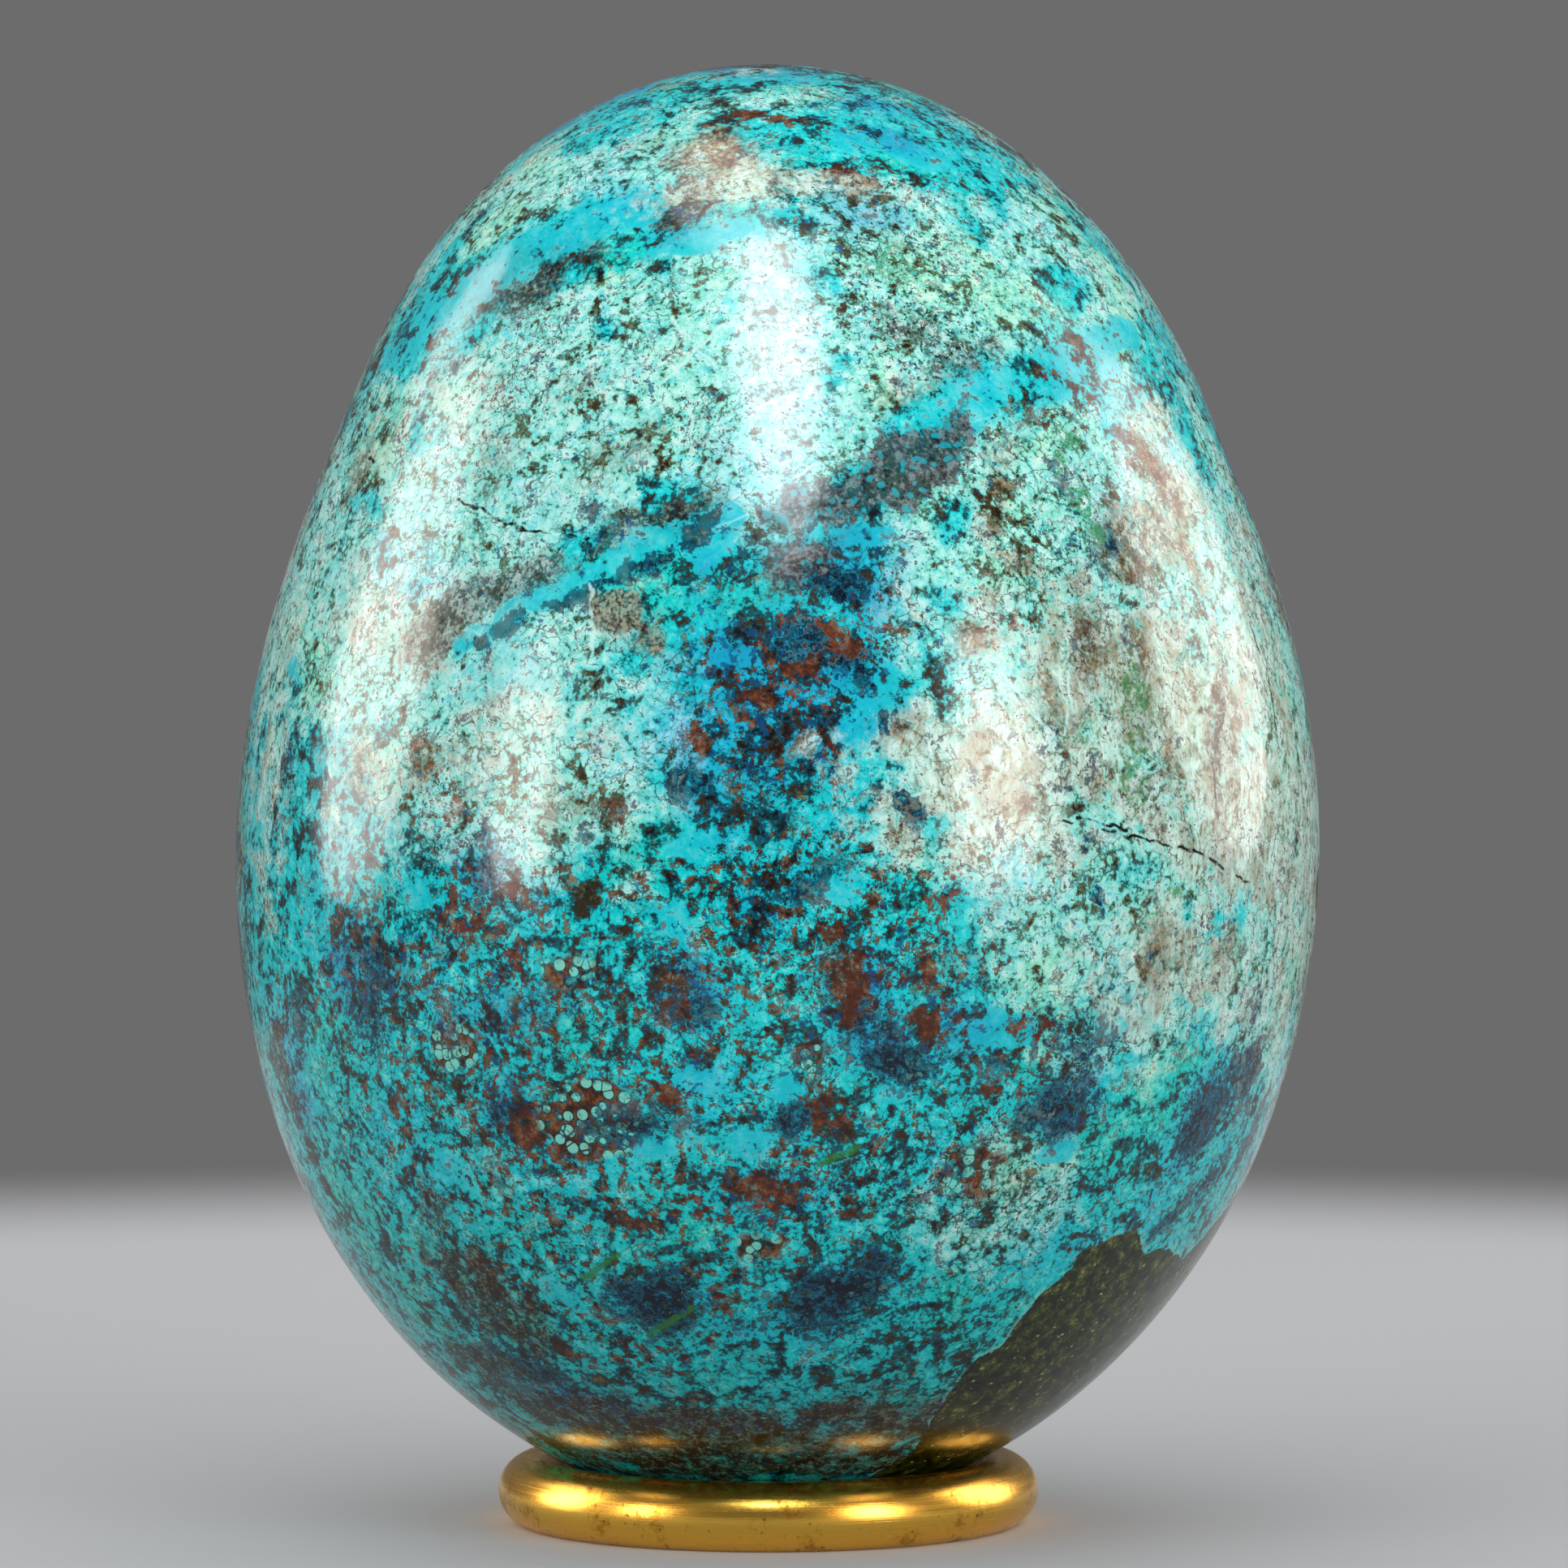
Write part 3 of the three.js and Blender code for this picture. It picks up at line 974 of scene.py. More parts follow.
# %% The outline of the host rock
host_outline = seen(
    (1402, 1511), (1368, 1526), (1330, 1541), (1318, 1564), (1284, 1593), (1257, 1626),
    (1234, 1660), (1196, 1679), (1169, 1717), (1150, 1748), (1123, 1790))
host_outline += unseen(
    (24, 2.6), (60, 2.4), (100, 3.0), (122, 7), (118, 11), (104, 14), (97, 19), (84, 20))
host_outline += seen((1456, 1553), (1433, 1536), (1408, 1546))
paint("host", [], softness=0.3, wild=(12, 0.012, 10), areas=[host_outline])

# %% [markdown]
# ## Writing a material as sums
#
# A material of this kind takes a few hundred nodes, far too many to place by hand. The maths is
# written as ordinary expressions instead. `Value` stands for whatever comes out of a node, and
# adding or multiplying two of them adds the node that does it. A plain number or colour may take the
# place of one of the two. Everything that isn't plain maths goes through `Finish.node`.


# %% Values that build their own nodes
class Value:
    """A number, vector or colour on its way through a finish."""

    def __init__(self, finish, socket):
        self.finish = finish
        self.socket = socket

    def is_vector(self):
        return self.socket.type != "VALUE"

    def part(self, name):
        """Another output of the same node."""
        return Value(self.finish, self.socket.node.outputs[name])

    def __add__(self, other):
        return self.finish.maths("ADD", self, other)

    def __radd__(self, other):
        return self.finish.maths("ADD", other, self)

    def __sub__(self, other):
        return self.finish.maths("SUBTRACT", self, other)

    def __rsub__(self, other):
        return self.finish.maths("SUBTRACT", other, self)

    def __mul__(self, other):
        return self.finish.maths("MULTIPLY", self, other)


class Finish:
    """The nodes of one material, or of the room round the egg."""

    def __init__(self, holder):
        self.holder = holder
        holder.use_nodes = True
        self.tree = holder.node_tree
        self.tree.nodes.clear()

    def tell(self, what):
        print(what, "is built, and", self.holder.name, "has", len(self.tree.nodes), "nodes")

    def node(self, kind, settings=None, inputs=None, out=0):
        """Adds a node, sets what it does, then what its sockets hold, and gives one output."""
        made = self.tree.nodes.new(kind)
        for name, setting in (settings or {}).items():
            if name == "stops":
                self.set_stops(made.color_ramp, setting)
            else:
                setattr(made, name, setting)
        for key, held in (inputs or {}).items():
            self.fill(made.inputs[key], held)
        return Value(self, made.outputs[out])

    def show(self, surface, output="ShaderNodeOutputMaterial"):
        """Makes a shader the one that the material, or the room, shows."""
        made = self.tree.nodes.new(output)
        self.tree.links.new(surface.socket, made.inputs["Surface"])

    def set_stops(self, ramp, stops):
        while len(ramp.elements) < len(stops):
            ramp.elements.new(1.0)
        for element, (position, colour) in zip(ramp.elements, stops):
            element.position = position
            element.color = (*colour, 1)

    def fill(self, socket, held):
        if isinstance(held, Value):
            self.tree.links.new(held.socket, socket)
        elif socket.type == "RGBA":
            socket.default_value = (*held, 1)
        elif socket.type == "VECTOR" and isinstance(held, (int, float)):
            socket.default_value = (held, held, held)
        else:
            socket.default_value = held

    def maths(self, operation, first, second):
        vectors = any(v.is_vector() if isinstance(v, Value) else not isinstance(v, (int, float))
                      for v in (first, second))
        kind = "ShaderNodeVectorMath" if vectors else "ShaderNodeMath"
        return self.node(kind, {"operation": operation}, {0: first, 1: second})

    def larger(self, first, second):
        return self.maths("MAXIMUM", first, second)

    def smaller(self, first, second):
        return self.maths("MINIMUM", first, second)

    def step(self, value, low, high):
        """0 where the value is below low, 1 above high, and a smooth rise between."""
        return self.node(
            "ShaderNodeMapRange", {"interpolation_type": "SMOOTHSTEP"},
            {"Value": value, "From Min": low, "From Max": high})

    def blend(self, first, second, share):
        """A colour that goes from the first to the second."""
        return self.node(
            "ShaderNodeMix", {"data_type": "RGBA"}, {0: share, 6: first, 7: second}, out=2)

    def ramp(self, value, stops):
        return self.node("ShaderNodeValToRGB", {"stops": stops}, {"Fac": value})

    def clouds(self, place, size, detail=2.0, roughness=0.5):
        """Soft noise about 0 whose lumps are about the given size, in millimetres."""
        return self.node(
            "ShaderNodeTexNoise", {},
            {"Vector": place, "Scale": 1 / size, "Detail": detail, "Roughness": roughness},
        ) - 0.5

    def push(self, place, lumps, detail=2.0):
        """Noise about 0 that pushes a place three ways, with so many lumps to a millimetre."""
        return self.node(
            "ShaderNodeTexNoise", {}, {"Vector": place, "Scale": lumps, "Detail": detail},
            out="Color") - (0.5, 0.5, 0.5)

    def cells(self, place, size, feature="F1"):
        """Distance from the middles, or the edges, of a foam of cells, in cell sizes."""
        return self.node(
            "ShaderNodeTexVoronoi", {"feature": feature}, {"Vector": place, "Scale": 1 / size})

    def painted(self, mineral):
        return self.node("ShaderNodeAttribute", {"attribute_name": mineral}, out=2)

    def distance(self, first, second):
        return self.node(
            "ShaderNodeVectorMath", {"operation": "DISTANCE"}, {0: first, 1: second}, out=1)

    def in_millimetres(self):
        """Places on the piece itself, so that the pattern moves with it."""
        return self.node("ShaderNodeTexCoord", out="Object") * (1 / MM)

    def meets_the_eye(self):
        """1 for light on its way to the eye, straight or by way of metal or glass, 0 for the rest."""
        camera_sees = self.node("ShaderNodeLightPath", out="Is Camera Ray")
        mirror_sees = camera_sees.part("Is Glossy Ray")
        glass_sees = camera_sees.part("Is Transmission Ray")
        return self.larger(self.larger(camera_sees, mirror_sees), glass_sees)


# %% Write colours as a painter does
def colour(red, green, blue):
    """A colour written as in a paint program, from 0 to 255, as the linear numbers of a shader."""
    def linear(level):
        share = level / 255
        return share / 12.92 if share <= 0.04045 else ((share + 0.055) / 1.055) ** 2.4
    return linear(red), linear(green), linear(blue)


print("turquoise is", [round(level, 3) for level in colour(37, 189, 193)])

# %% [markdown]
# ## The stone, layer by layer
#
# Under a lens the stone is a foam of turquoise grains with darker mineral and brown between them.
# Most of that can be told by one number, the tone: soft noise of four sizes and round grains of two
# sizes, added together. Where the tone is high there is pale, clean mineral, lower down the colour
# deepens to teal, and the lowest places are nearly black. Because every size has its part in the
# sum, each dark place gets a ragged edge of smaller ones, as in the stone. The coordinates that the
# noise reads are pushed about by other noise first, so that nothing keeps a regular shape.

# %% Coordinates on the stone
stone = Finish(bpy.data.materials.new("copper mineral stone"))
place = stone.in_millimetres()
bend = stone.push(place, 1 / 3.2)
bent = place + bend * 2.0
elsewhere = place + (31.0, 17.0, 53.0) + bend * 1.2
curled = bent + stone.push(place, 1 / 0.7) * 1.1
stone.tell("the set of coordinates")

# %% Read the painted areas
washed = stone.painted("washed")
cream = stone.painted("cream")
turquoise = stone.painted("turquoise")
rich = stone.painted("rich")
rust = stone.painted("rust")
bare = stone.painted("bare")
pool = stone.painted("pool")
smoke = stone.painted("smoke")
speckle = stone.painted("speckle")
green = stone.painted("green")
lens = stone.painted("lens")
disc = stone.painted("disc")
host = stone.painted("host")
stain = stone.painted("stain")
bright = stone.painted("bright")
deep = stone.painted("deep")
stone.tell("the reading of the paint")

# %% The tone of the mineral
grain_size = 0.95
small_grain_size = 0.42
large = stone.clouds(bent, 6.5, 3.0, 0.55)
medium = stone.clouds(bent, 1.6, 3.0, 0.6)
small = stone.clouds(place, 0.55, 3.0, 0.72)
tiny = stone.clouds(place, 0.2, 1.0, 0.5)
calm = stone.larger(
    stone.step(turquoise + medium * 1.3 + small * 0.9, 0.35, 0.65),
    stone.step(large, 0.1, 0.22) * 0.4)
unrest = 1 - calm * 0.5
grains = 0.52 - stone.cells(curled, grain_size)
small_grains = 0.52 - stone.cells(curled + (7.0, 3.0, 11.0), small_grain_size)
# The lowest part of the egg is painted darker: painted shade on the underside, which faces away from
# the light.
height_up = stone.node("ShaderNodeSeparateXYZ", {}, {0: place}, out="Z")
painted_low_shade = 1 - stone.step(height_up, 3.0, 17.0)
noise_tone = medium * 0.85 + small * (0.65 + speckle * 0.5) + tiny * 0.2
tone = (
    0.53 + large * 0.26 + (noise_tone + grains * 0.22 + small_grains * 0.16) * unrest
    + calm * 0.05 + washed * 0.04 - bare * 0.1 + bright * 0.06 - painted_low_shade * 0.05
    - deep * 0.05)
stone.tell("the tone")

# %% [markdown]
# Two ramps turn the tone into colour, one for saturated mineral and one for pale. The paint says
# which of them a place takes, and medium and small noise make the border between them ragged. A very
# slow noise then shifts the hue a little to the blue or the green, as no stone has one hue all over.

# %% The colours of the mineral
rich_mineral = stone.ramp(tone, [
    (0.28, colour(10, 18, 18)), (0.35, colour(4, 60, 70)), (0.405, colour(0, 108, 118)),
    (0.425, colour(2, 46, 56)), (0.455, colour(0, 152, 158)), (0.50, colour(0, 200, 204)),
    (0.59, colour(12, 212, 216)), (0.84, colour(130, 242, 234))])
washed_mineral = stone.ramp(tone, [
    (0.27, colour(26, 22, 14)), (0.33, colour(78, 78, 54)), (0.395, colour(112, 136, 106)),
    (0.42, colour(30, 54, 46)), (0.445, colour(110, 200, 184)), (0.50, colour(134, 224, 210)),
    (0.60, colour(168, 238, 228)), (0.82, colour(218, 248, 242))])
paleness = stone.step(washed - rich * 0.5 + medium * 0.9 + small * 0.5, 0.15, 0.7)
body_colour = stone.blend(rich_mineral, washed_mineral, paleness * (1 - calm))

cyan_grains = stone.step(stone.clouds(elsewhere, 0.5, 3.0, 0.65) + medium * 0.4, 0.06, 0.12)
body_colour = stone.blend(
    body_colour, colour(56, 216, 224), cyan_grains * paleness * (1 - calm) * 0.6)

hue = stone.clouds(place, 7.0, 2.0)
bluer = stone.step(hue, 0.03, 0.2) * 0.4
greener = stone.step(hue, -0.03, -0.2) * 0.5
for tint, tint_share in (
        ((0.7, 0.86, 1.1), bluer),
        ((1.1, 1.0, 0.74), greener * (1 - calm)),
        ((0.2, 0.58, 0.9), deep * 0.85),
        ((0.76, 0.88, 0.95), calm)):
    body_colour = body_colour * stone.blend((1, 1, 1), tint, tint_share)
stone.tell("the mineral's colour")

# %% [markdown]
# The brown is a mineral of its own. It lies in small sharp-edged patches between the grains, rusty
# where there is iron and olive or tan elsewhere, and each patch has a thin dark rim.

# %% The brown patches
pool_depth = pool + medium * 2.1 + small * 2.2 + large * 0.4
pool_share = stone.step(pool_depth, 0.36, 0.62)
brown_level = (
    stone.clouds(elsewhere, 0.75, 4.0, 0.78) + rust * 0.09 + bare * 0.15 - calm * 0.1)
brown_share = stone.step(brown_level, 0.122, 0.14) * (1 - pool_share)
brown_rim = stone.step(brown_level, 0.085, 0.115) * (1 - brown_share) * (1 - pool_share)
rust_colour = stone.ramp(small + medium * 0.6 + 0.5, [
    (0.36, colour(26, 10, 0)), (0.46, colour(76, 34, 4)), (0.58, colour(126, 66, 14)),
    (0.7, colour(146, 108, 58))])
olive_colour = stone.ramp(small + medium * 0.6 + 0.5, [
    (0.36, colour(34, 36, 20)), (0.48, colour(84, 82, 52)), (0.62, colour(134, 126, 92))])
rustiness = stone.step(rust + medium * 0.8, 0.15, 0.6)
brown_colour = stone.blend(olive_colour, rust_colour, rustiness)
redness = stone.step(stone.clouds(place, 4.0, 1.0), 0.12, 0.2)
brown_colour = stone.blend(brown_colour, colour(116, 22, 10), redness * rustiness * 0.7)
brown_colour = stone.blend(brown_colour, colour(116, 44, 10), bare * rustiness * 0.35)
earthy = stone.step(stone.clouds(elsewhere, 1.8, 3.0), -0.02, 0.05)
earthy = earthy * (1 - stone.step(tone, 0.36, 0.4))
body_colour = stone.blend(body_colour, colour(60, 42, 16), earthy * 0.8)
body_colour = stone.blend(body_colour, colour(20, 16, 8), brown_rim * 0.75)
body_colour = stone.blend(body_colour, brown_colour, brown_share * 0.96)
stone.tell("the brown")

# %% [markdown]
# Where rust is thick, pale grains float in it, round because they grew in the open. A Voronoi
# texture measures the distance from scattered points, which makes round grains of it directly.

# %% The round grains in the rust
bead_size = 0.7
bead_cells = stone.cells(place, bead_size)
bead_zone = stone.step(stone.painted("beads") + medium * 0.8, 0.3, 0.6)
bead_ground = bead_zone * stone.step(bead_cells, 0.54, 0.6)
bead_gaps = stone.cells(place, bead_size, "DISTANCE_TO_EDGE")
bead_share = bead_zone * (1 - stone.step(bead_cells, 0.42, 0.48))
bead_share = bead_share * stone.step(bead_gaps, 0.02, 0.06)
bead_rim = bead_zone - bead_ground - bead_share
body_colour = stone.blend(body_colour, rust_colour, bead_ground)
body_colour = stone.blend(body_colour, colour(24, 18, 8), stone.larger(bead_rim, 0.0) * 0.8)
body_colour = stone.blend(body_colour, colour(132, 222, 204), bead_share * 0.9)
stone.tell("the set of round grains")

# %% [markdown]
# In the cream area the mineral is drawn out into fine upright streaks of brown, and turquoise shows
# only in specks. Stretching the coordinates upwards before the noise reads them is enough to turn
# round lumps into streaks.

# %% The cream areas
upright = place * (1.0, 1.0, 0.5) + bend * 1.6
streaks = stone.clouds(upright, 0.42, 4.0, 0.75)
cream_colour = stone.ramp(streaks + medium * 0.3 + 0.5, [
    (0.35, colour(60, 42, 20)), (0.395, colour(130, 104, 68)), (0.44, colour(186, 178, 146)),
    (0.50, colour(190, 226, 210)), (0.58, colour(214, 240, 228)), (0.7, colour(240, 246, 238))])
smudges = stone.step(stone.clouds(upright + (9.0, 3.0, 5.0), 1.8, 3.0, 0.6), -0.01, 0.12)
cream_colour = stone.blend(cream_colour, colour(158, 124, 84), smudges * 0.55)
creaminess = stone.step(cream + large * 0.9 + medium * 2.0 + small * 1.4, 0.25, 0.95)
body_colour = stone.blend(body_colour, cream_colour, creaminess * 0.8)
stone.tell("the cream")

# %% [markdown]
# The stain is thin, so the brightest grains and the unbroken turquoise come through it clean.

# %% The brown stain
stain_share = stone.step(stain + medium * 1.3 + small * 1.1, 0.3, 0.85) * (1 - calm)
stain_share = stain_share * (1 - stone.step(tone, 0.56, 0.66) * 0.7)
stain_colour = stone.ramp(small + tiny * 0.5 + 0.5, [
    (0.38, colour(54, 34, 14)), (0.5, colour(118, 86, 48)), (0.62, colour(158, 138, 96))])
body_colour = stone.blend(body_colour, stain_colour, stain_share * 0.82)
stone.tell("the stain")

# %% [markdown]
# Smoky areas are where dark mineral lies just under the surface, and the grains over them look as if
# they were seen through smoke. Round the foot of the egg the same dark cover is painted shade.

# %% The smoky areas, and the painted shade round the foot
smoke_and_shade_colour = stone.ramp(small + tiny * 0.5 + 0.5, [
    (0.38, colour(12, 8, 4)), (0.48, colour(50, 36, 24)), (0.56, colour(82, 68, 50)),
    (0.66, colour(98, 128, 116))])
# This cover is dark mineral, and painted shade where it lies round the foot of the egg.
smoke_and_shade_share = stone.step(smoke + medium * 1.8 + small * 1.9, 0.36, 0.72)
bright_grains = stone.step(tone, 0.54, 0.72) * (1 - smoke * 0.5)
smoke_and_shade_cover = smoke_and_shade_share * (1 - bright_grains) * (1 - calm * 0.75)
body_colour = stone.blend(body_colour, smoke_and_shade_colour, smoke_and_shade_cover * 0.9)
stone.tell("the smoke")

# %% [markdown]
# Hairline joints run between the grains. They are the edges of a foam of cells, which is what a
# Voronoi texture gives, and noise lets them come and go.

# %% The hairline joints
joint_edges = stone.cells(curled, 1.3, "DISTANCE_TO_EDGE")
joints = (1 - stone.step(joint_edges, 0.01, 0.05)) * stone.step(medium, 0.02, 0.08) * (1 - calm)
body_colour = stone.blend(body_colour, colour(24, 44, 36), joints * (0.45 - creaminess * 0.2))
pale_edges = stone.cells(elsewhere, 2.6, "DISTANCE_TO_EDGE")
pale_joints = (1 - stone.step(pale_edges, 0.008, 0.03)) * stone.step(large, 0.0, 0.1)
body_colour = stone.blend(
    body_colour, colour(196, 244, 234), pale_joints * paleness * (1 - smoke_and_shade_share) * 0.4)
foam_edges = stone.cells(curled, grain_size, "DISTANCE_TO_EDGE")
foam_zone = stone.step(stone.clouds(elsewhere, 3.0, 2.0), -0.06, 0.06) * (1 - calm)
foam = (1 - stone.step(foam_edges, 0.02, 0.08)) * foam_zone * stone.step(small, -0.08, 0.04)
foam_colour = stone.blend(colour(6, 44, 44), colour(48, 32, 12), stone.step(large, -0.04, 0.04))
body_colour = stone.blend(body_colour, foam_colour, foam * 0.7)
stone.tell("the net of joints")

# %% [markdown]
# Over everything lies grit, dark specks a third of a millimetre across, blue specks of another
# copper mineral, and here and there a green one.

# %% The dark grit, the blue specks and the green stain
grit_noise = stone.clouds(place, 0.3, 3.0, 0.75)
grit_level = grit_noise + speckle * 0.07 - rich * 0.015 + medium * 0.3 + large * 0.2
grit_mask = stone.step(grit_level, 0.13, 0.16) * (1 - calm)
grit_colour = stone.blend(colour(6, 40, 48), colour(76, 36, 14), stone.step(large, -0.08, 0.04))
grit_colour = stone.blend(grit_colour, colour(14, 14, 10), speckle)
body_colour = stone.blend(body_colour, grit_colour, grit_mask * 0.9)
blue_noise = stone.clouds(elsewhere, 0.7, 3.0, 0.65)
blue_mask = stone.step(blue_noise + rich * 0.03 + speckle * 0.02 + deep * 0.05, 0.14, 0.18)
blue_share = blue_mask * (1 - brown_share) * (1 - creaminess)
body_colour = stone.blend(body_colour, colour(0, 70, 122), blue_share * 0.75)
green_mask = stone.step(green + medium * 2.2 + small * 2.6, 0.36, 0.66)
body_colour = stone.blend(
    body_colour, colour(28, 132, 62), green_mask * (1 - bright_grains) * 0.75)
stone.tell("the grit")

# %% [markdown]
# The pools are where clear mineral lets the eye into the depth of the stone. They go from teal at
# the rim to a nearly black blue in the middle. Their edges run in and out between the grains, and
# the brightest grains still show through them.

# %% Lay the pools over the grains
pool_colour = stone.ramp(pool_depth + small * 1.2 + tiny * 0.6, [
    (0.36, colour(0, 128, 146)), (0.54, colour(0, 88, 112)), (0.74, colour(0, 52, 78)),
    (1.0, colour(0, 8, 26))])
pool_cover = pool_share * (1 - bright_grains * 0.3)
body_colour = stone.blend(body_colour, pool_colour, pool_cover)
stone.tell("the set of pools")

# %% [markdown]
# The lens is slate grey and full of round turquoise dots, which a Voronoi texture gives again. The
# disc is a grey-brown spot of the same kind, without the dots.

# %% The slate lens with its turquoise dots, and the disc
lens_share = stone.step(lens + medium * 2.0 + small * 2.2, 0.38, 0.68)
slate = stone.ramp(small + tiny * 0.4 + 0.5, [
    (0.40, colour(10, 10, 12)), (0.48, colour(48, 40, 40)), (0.56, colour(84, 82, 84)),
    (0.64, colour(112, 132, 136))])
dot_size = 0.7
lens_dots = stone.cells(bent, dot_size)
dots = 1 - stone.step(lens_dots + medium * 0.9, 0.24, 0.36)
slate = stone.blend(slate, colour(14, 150, 166), dots * 0.9)
body_colour = stone.blend(body_colour, slate, lens_share * 0.9)

disc_share = stone.step(disc + medium * 0.5 + small * 0.8, 0.4, 0.62)
disc_colour = stone.ramp(small + tiny + 0.5, [
    (0.4, colour(52, 42, 32)), (0.5, colour(112, 98, 80)), (0.62, colour(150, 152, 128))])
body_colour = stone.blend(body_colour, disc_colour, disc_share * 0.8)
stone.tell("the lens")

# %% [markdown]
# The host rock is a dark, fine-grained green stone with pale flecks. It meets the mineral along a
# sharp, ragged edge, with a pale rim on the mineral's side.

# %% The corner of host rock
host_level = host + medium * 0.36 + small * 0.24
host_share = stone.step(host_level, 0.49, 0.52)
host_rim = stone.step(host_level, 0.36, 0.42) * (1 - host_share)
host_rim = host_rim * stone.step(medium, -0.08, 0.02)
rock_noise = stone.clouds(place, 0.9, 4.0, 0.75)
rock_colour = stone.ramp(rock_noise + tiny * 0.3 + 0.5, [
    (0.38, colour(2, 5, 0)), (0.46, colour(22, 32, 6)), (0.54, colour(50, 62, 16)),
    (0.62, colour(86, 90, 36)), (0.74, colour(140, 138, 80))])
fleck_spacing = 0.7
flecks = stone.cells(bent, fleck_spacing)
fleck_mask = (1 - stone.step(flecks, 0.1, 0.2)) * stone.step(medium, -0.1, 0.04)
rock_colour = stone.blend(rock_colour, colour(176, 190, 128), fleck_mask * 0.8)
body_colour = stone.blend(body_colour, colour(150, 226, 214), host_rim * 0.35)
body_colour = stone.blend(body_colour, rock_colour, host_share)
stone.tell("the host rock")

# %% [markdown]
# ## Cracks, veins and needles
#
# A few thin lines are particular to this stone: two hairline cracks, some pale veins and green
# needles of mineral. Each is a run of straight pieces between points on the surface. The distance to
# a piece is worked out in the material, from coordinates that noise has shaken a little, so that the
# lines wander as real ones do.

# %% Distance to a line on the stone
shaken = place + stone.push(place, 1.1, 3.0) * 0.7


def near_piece(start, end):
    """The distance from the shaken place to a straight piece, in millimetres."""
    run = end - start
    from_start = shaken - tuple(start)
    along = stone.node(
        "ShaderNodeVectorMath", {"operation": "DOT_PRODUCT"},
        {0: from_start, 1: tuple(run / run.length_squared)}, out=1)
    held = stone.node("ShaderNodeClamp", {}, {"Value": along})
    step_along = stone.node("ShaderNodeVectorMath", {"operation": "SCALE"},
                            {0: tuple(run), "Scale": held})
    return stone.distance(from_start, step_along)


def near_line(points):
    nearest = None
    for start, end in zip(points, points[1:]):
        found = near_piece(start, end)
        nearest = found if nearest is None else stone.smaller(nearest, found)
    return nearest


def line_mask(runs, width):
    """1 on the lines through these runs of points, and 0 past half their width."""
    nearest = None
    for points in runs:
        found = near_line(points)
        nearest = found if nearest is None else stone.smaller(nearest, found)
    return 1 - stone.step(nearest, width * 0.25, width * 0.75)


stone.tell("the shaken coordinate")

# %% Draw the cracks
crack_width = 0.18
cracks = [
    seen((455, 565), (575, 620), (640, 652), (735, 665)),
    seen((1308, 1012), (1400, 1032), (1470, 1048), (1532, 1085), (1618, 1135)),
    seen((1326, 1008), (1390, 1022)),
    seen((1120, 1800), (1150, 1748), (1185, 1700)),
    seen((1540, 770), (1562, 830), (1572, 900)),
    seen((1508, 880), (1494, 940), (1500, 1010)),
    unseen((128, 58), (150, 52), (168, 50)),
    unseen((-140, 30), (-152, 38), (-160, 49)),
]
crack_mask = line_mask(cracks, crack_width)
body_colour = stone.blend(body_colour, colour(14, 16, 14), crack_mask)
stone.tell("the set of cracks")

# %% Draw the veins and the needles
vein_width = 0.2
veins = [
    seen((851, 500), (853, 560)),
    seen((890, 400), (820, 470)),
    seen((826, 395), (880, 450)),
    seen((929, 504), (983, 485)),
    seen((958, 601), (1030, 556)),
    seen((1233, 829), (1297, 906)),
    seen((1316, 800), (1314, 904)),
    seen((728, 722), (731, 800)),
    unseen((165, 60), (190, 44)),
    unseen((100, 40), (118, 58)),
]
vein_mask = line_mask(veins, vein_width)
body_colour = stone.blend(body_colour, colour(196, 240, 236), vein_mask * 0.75)

needle_width = 0.4
needles = [
    seen((1010, 1434), (1055, 1414)),
    seen((800, 1645), (852, 1612)),
    seen((718, 1575), (762, 1546)),
    unseen((140, 24), (147, 26)),
]
needle_mask = line_mask(needles, needle_width)
body_colour = stone.blend(body_colour, colour(46, 120, 40), needle_mask * 0.8)
stone.tell("the set of veins and needles")

# %% [markdown]
# ## Gloss and relief of the stone
#
# The stone itself was polished, without lacquer, so the gloss is its own. The clean mineral takes a
# high polish, the brown and the grit a duller one. The relief is a few thousandths of a millimetre,
# just enough to make the edges of the highlights tremble.

# %% Finish the stone
clean_roughness = 0.165
relief_depth = 0.02
stone_roughness = (
    clean_roughness + brown_share * 0.06 + grit_mask * 0.06 + joints * 0.08 - pool_share * 0.04)
relief = stone.clouds(place, 0.45, 2.0, 0.6) + stone.clouds(place, 2.4, 1.0) * 9.0
relief_normal = stone.node(
    "ShaderNodeBump", {}, {"Strength": 0.3, "Distance": relief_depth * MM, "Height": relief})
stone_surface = stone.node("ShaderNodeBsdfPrincipled", {}, {
    "Base Color": body_colour, "Roughness": stone_roughness, "IOR": 1.46,
    "Normal": relief_normal})
stone.show(stone_surface)
egg.data.materials.append(stone.holder)
stone.tell("the finish of the stone")

# %% [markdown]
# ## The brass
#
# The rod is polished brass that has been handled: gold where it is rubbed, browner where tarnish has
# started, with fine scratches that run along the rod because it was polished lengthwise. Along the
# rod means round the ring, so the scratches read the angle round the ring's axis.

# %% Finish the brass
brass = Finish(bpy.data.materials.new("handled brass"))
brass_place = brass.in_millimetres()
across = brass.node("ShaderNodeSeparateXYZ", {}, {0: brass_place}, out="X")
angle = brass.node("ShaderNodeMath", {"operation": "ARCTAN2"}, {0: across.part("Y"), 1: across})
radius = brass.node("ShaderNodeVectorMath", {"operation": "LENGTH"},
                    {0: brass_place * (1.0, 1.0, 0.0)}, out=1)
scratch_spacing = 9.0
rubbed_place = brass.node("ShaderNodeCombineXYZ", {}, {
    "X": angle * 1.5, "Y": radius * scratch_spacing, "Z": across.part("Z") * scratch_spacing})
scratches = brass.clouds(rubbed_place, 1.0, 3.0, 0.7)
tarnish = brass.clouds(brass_place, 3.2, 4.0, 0.65)
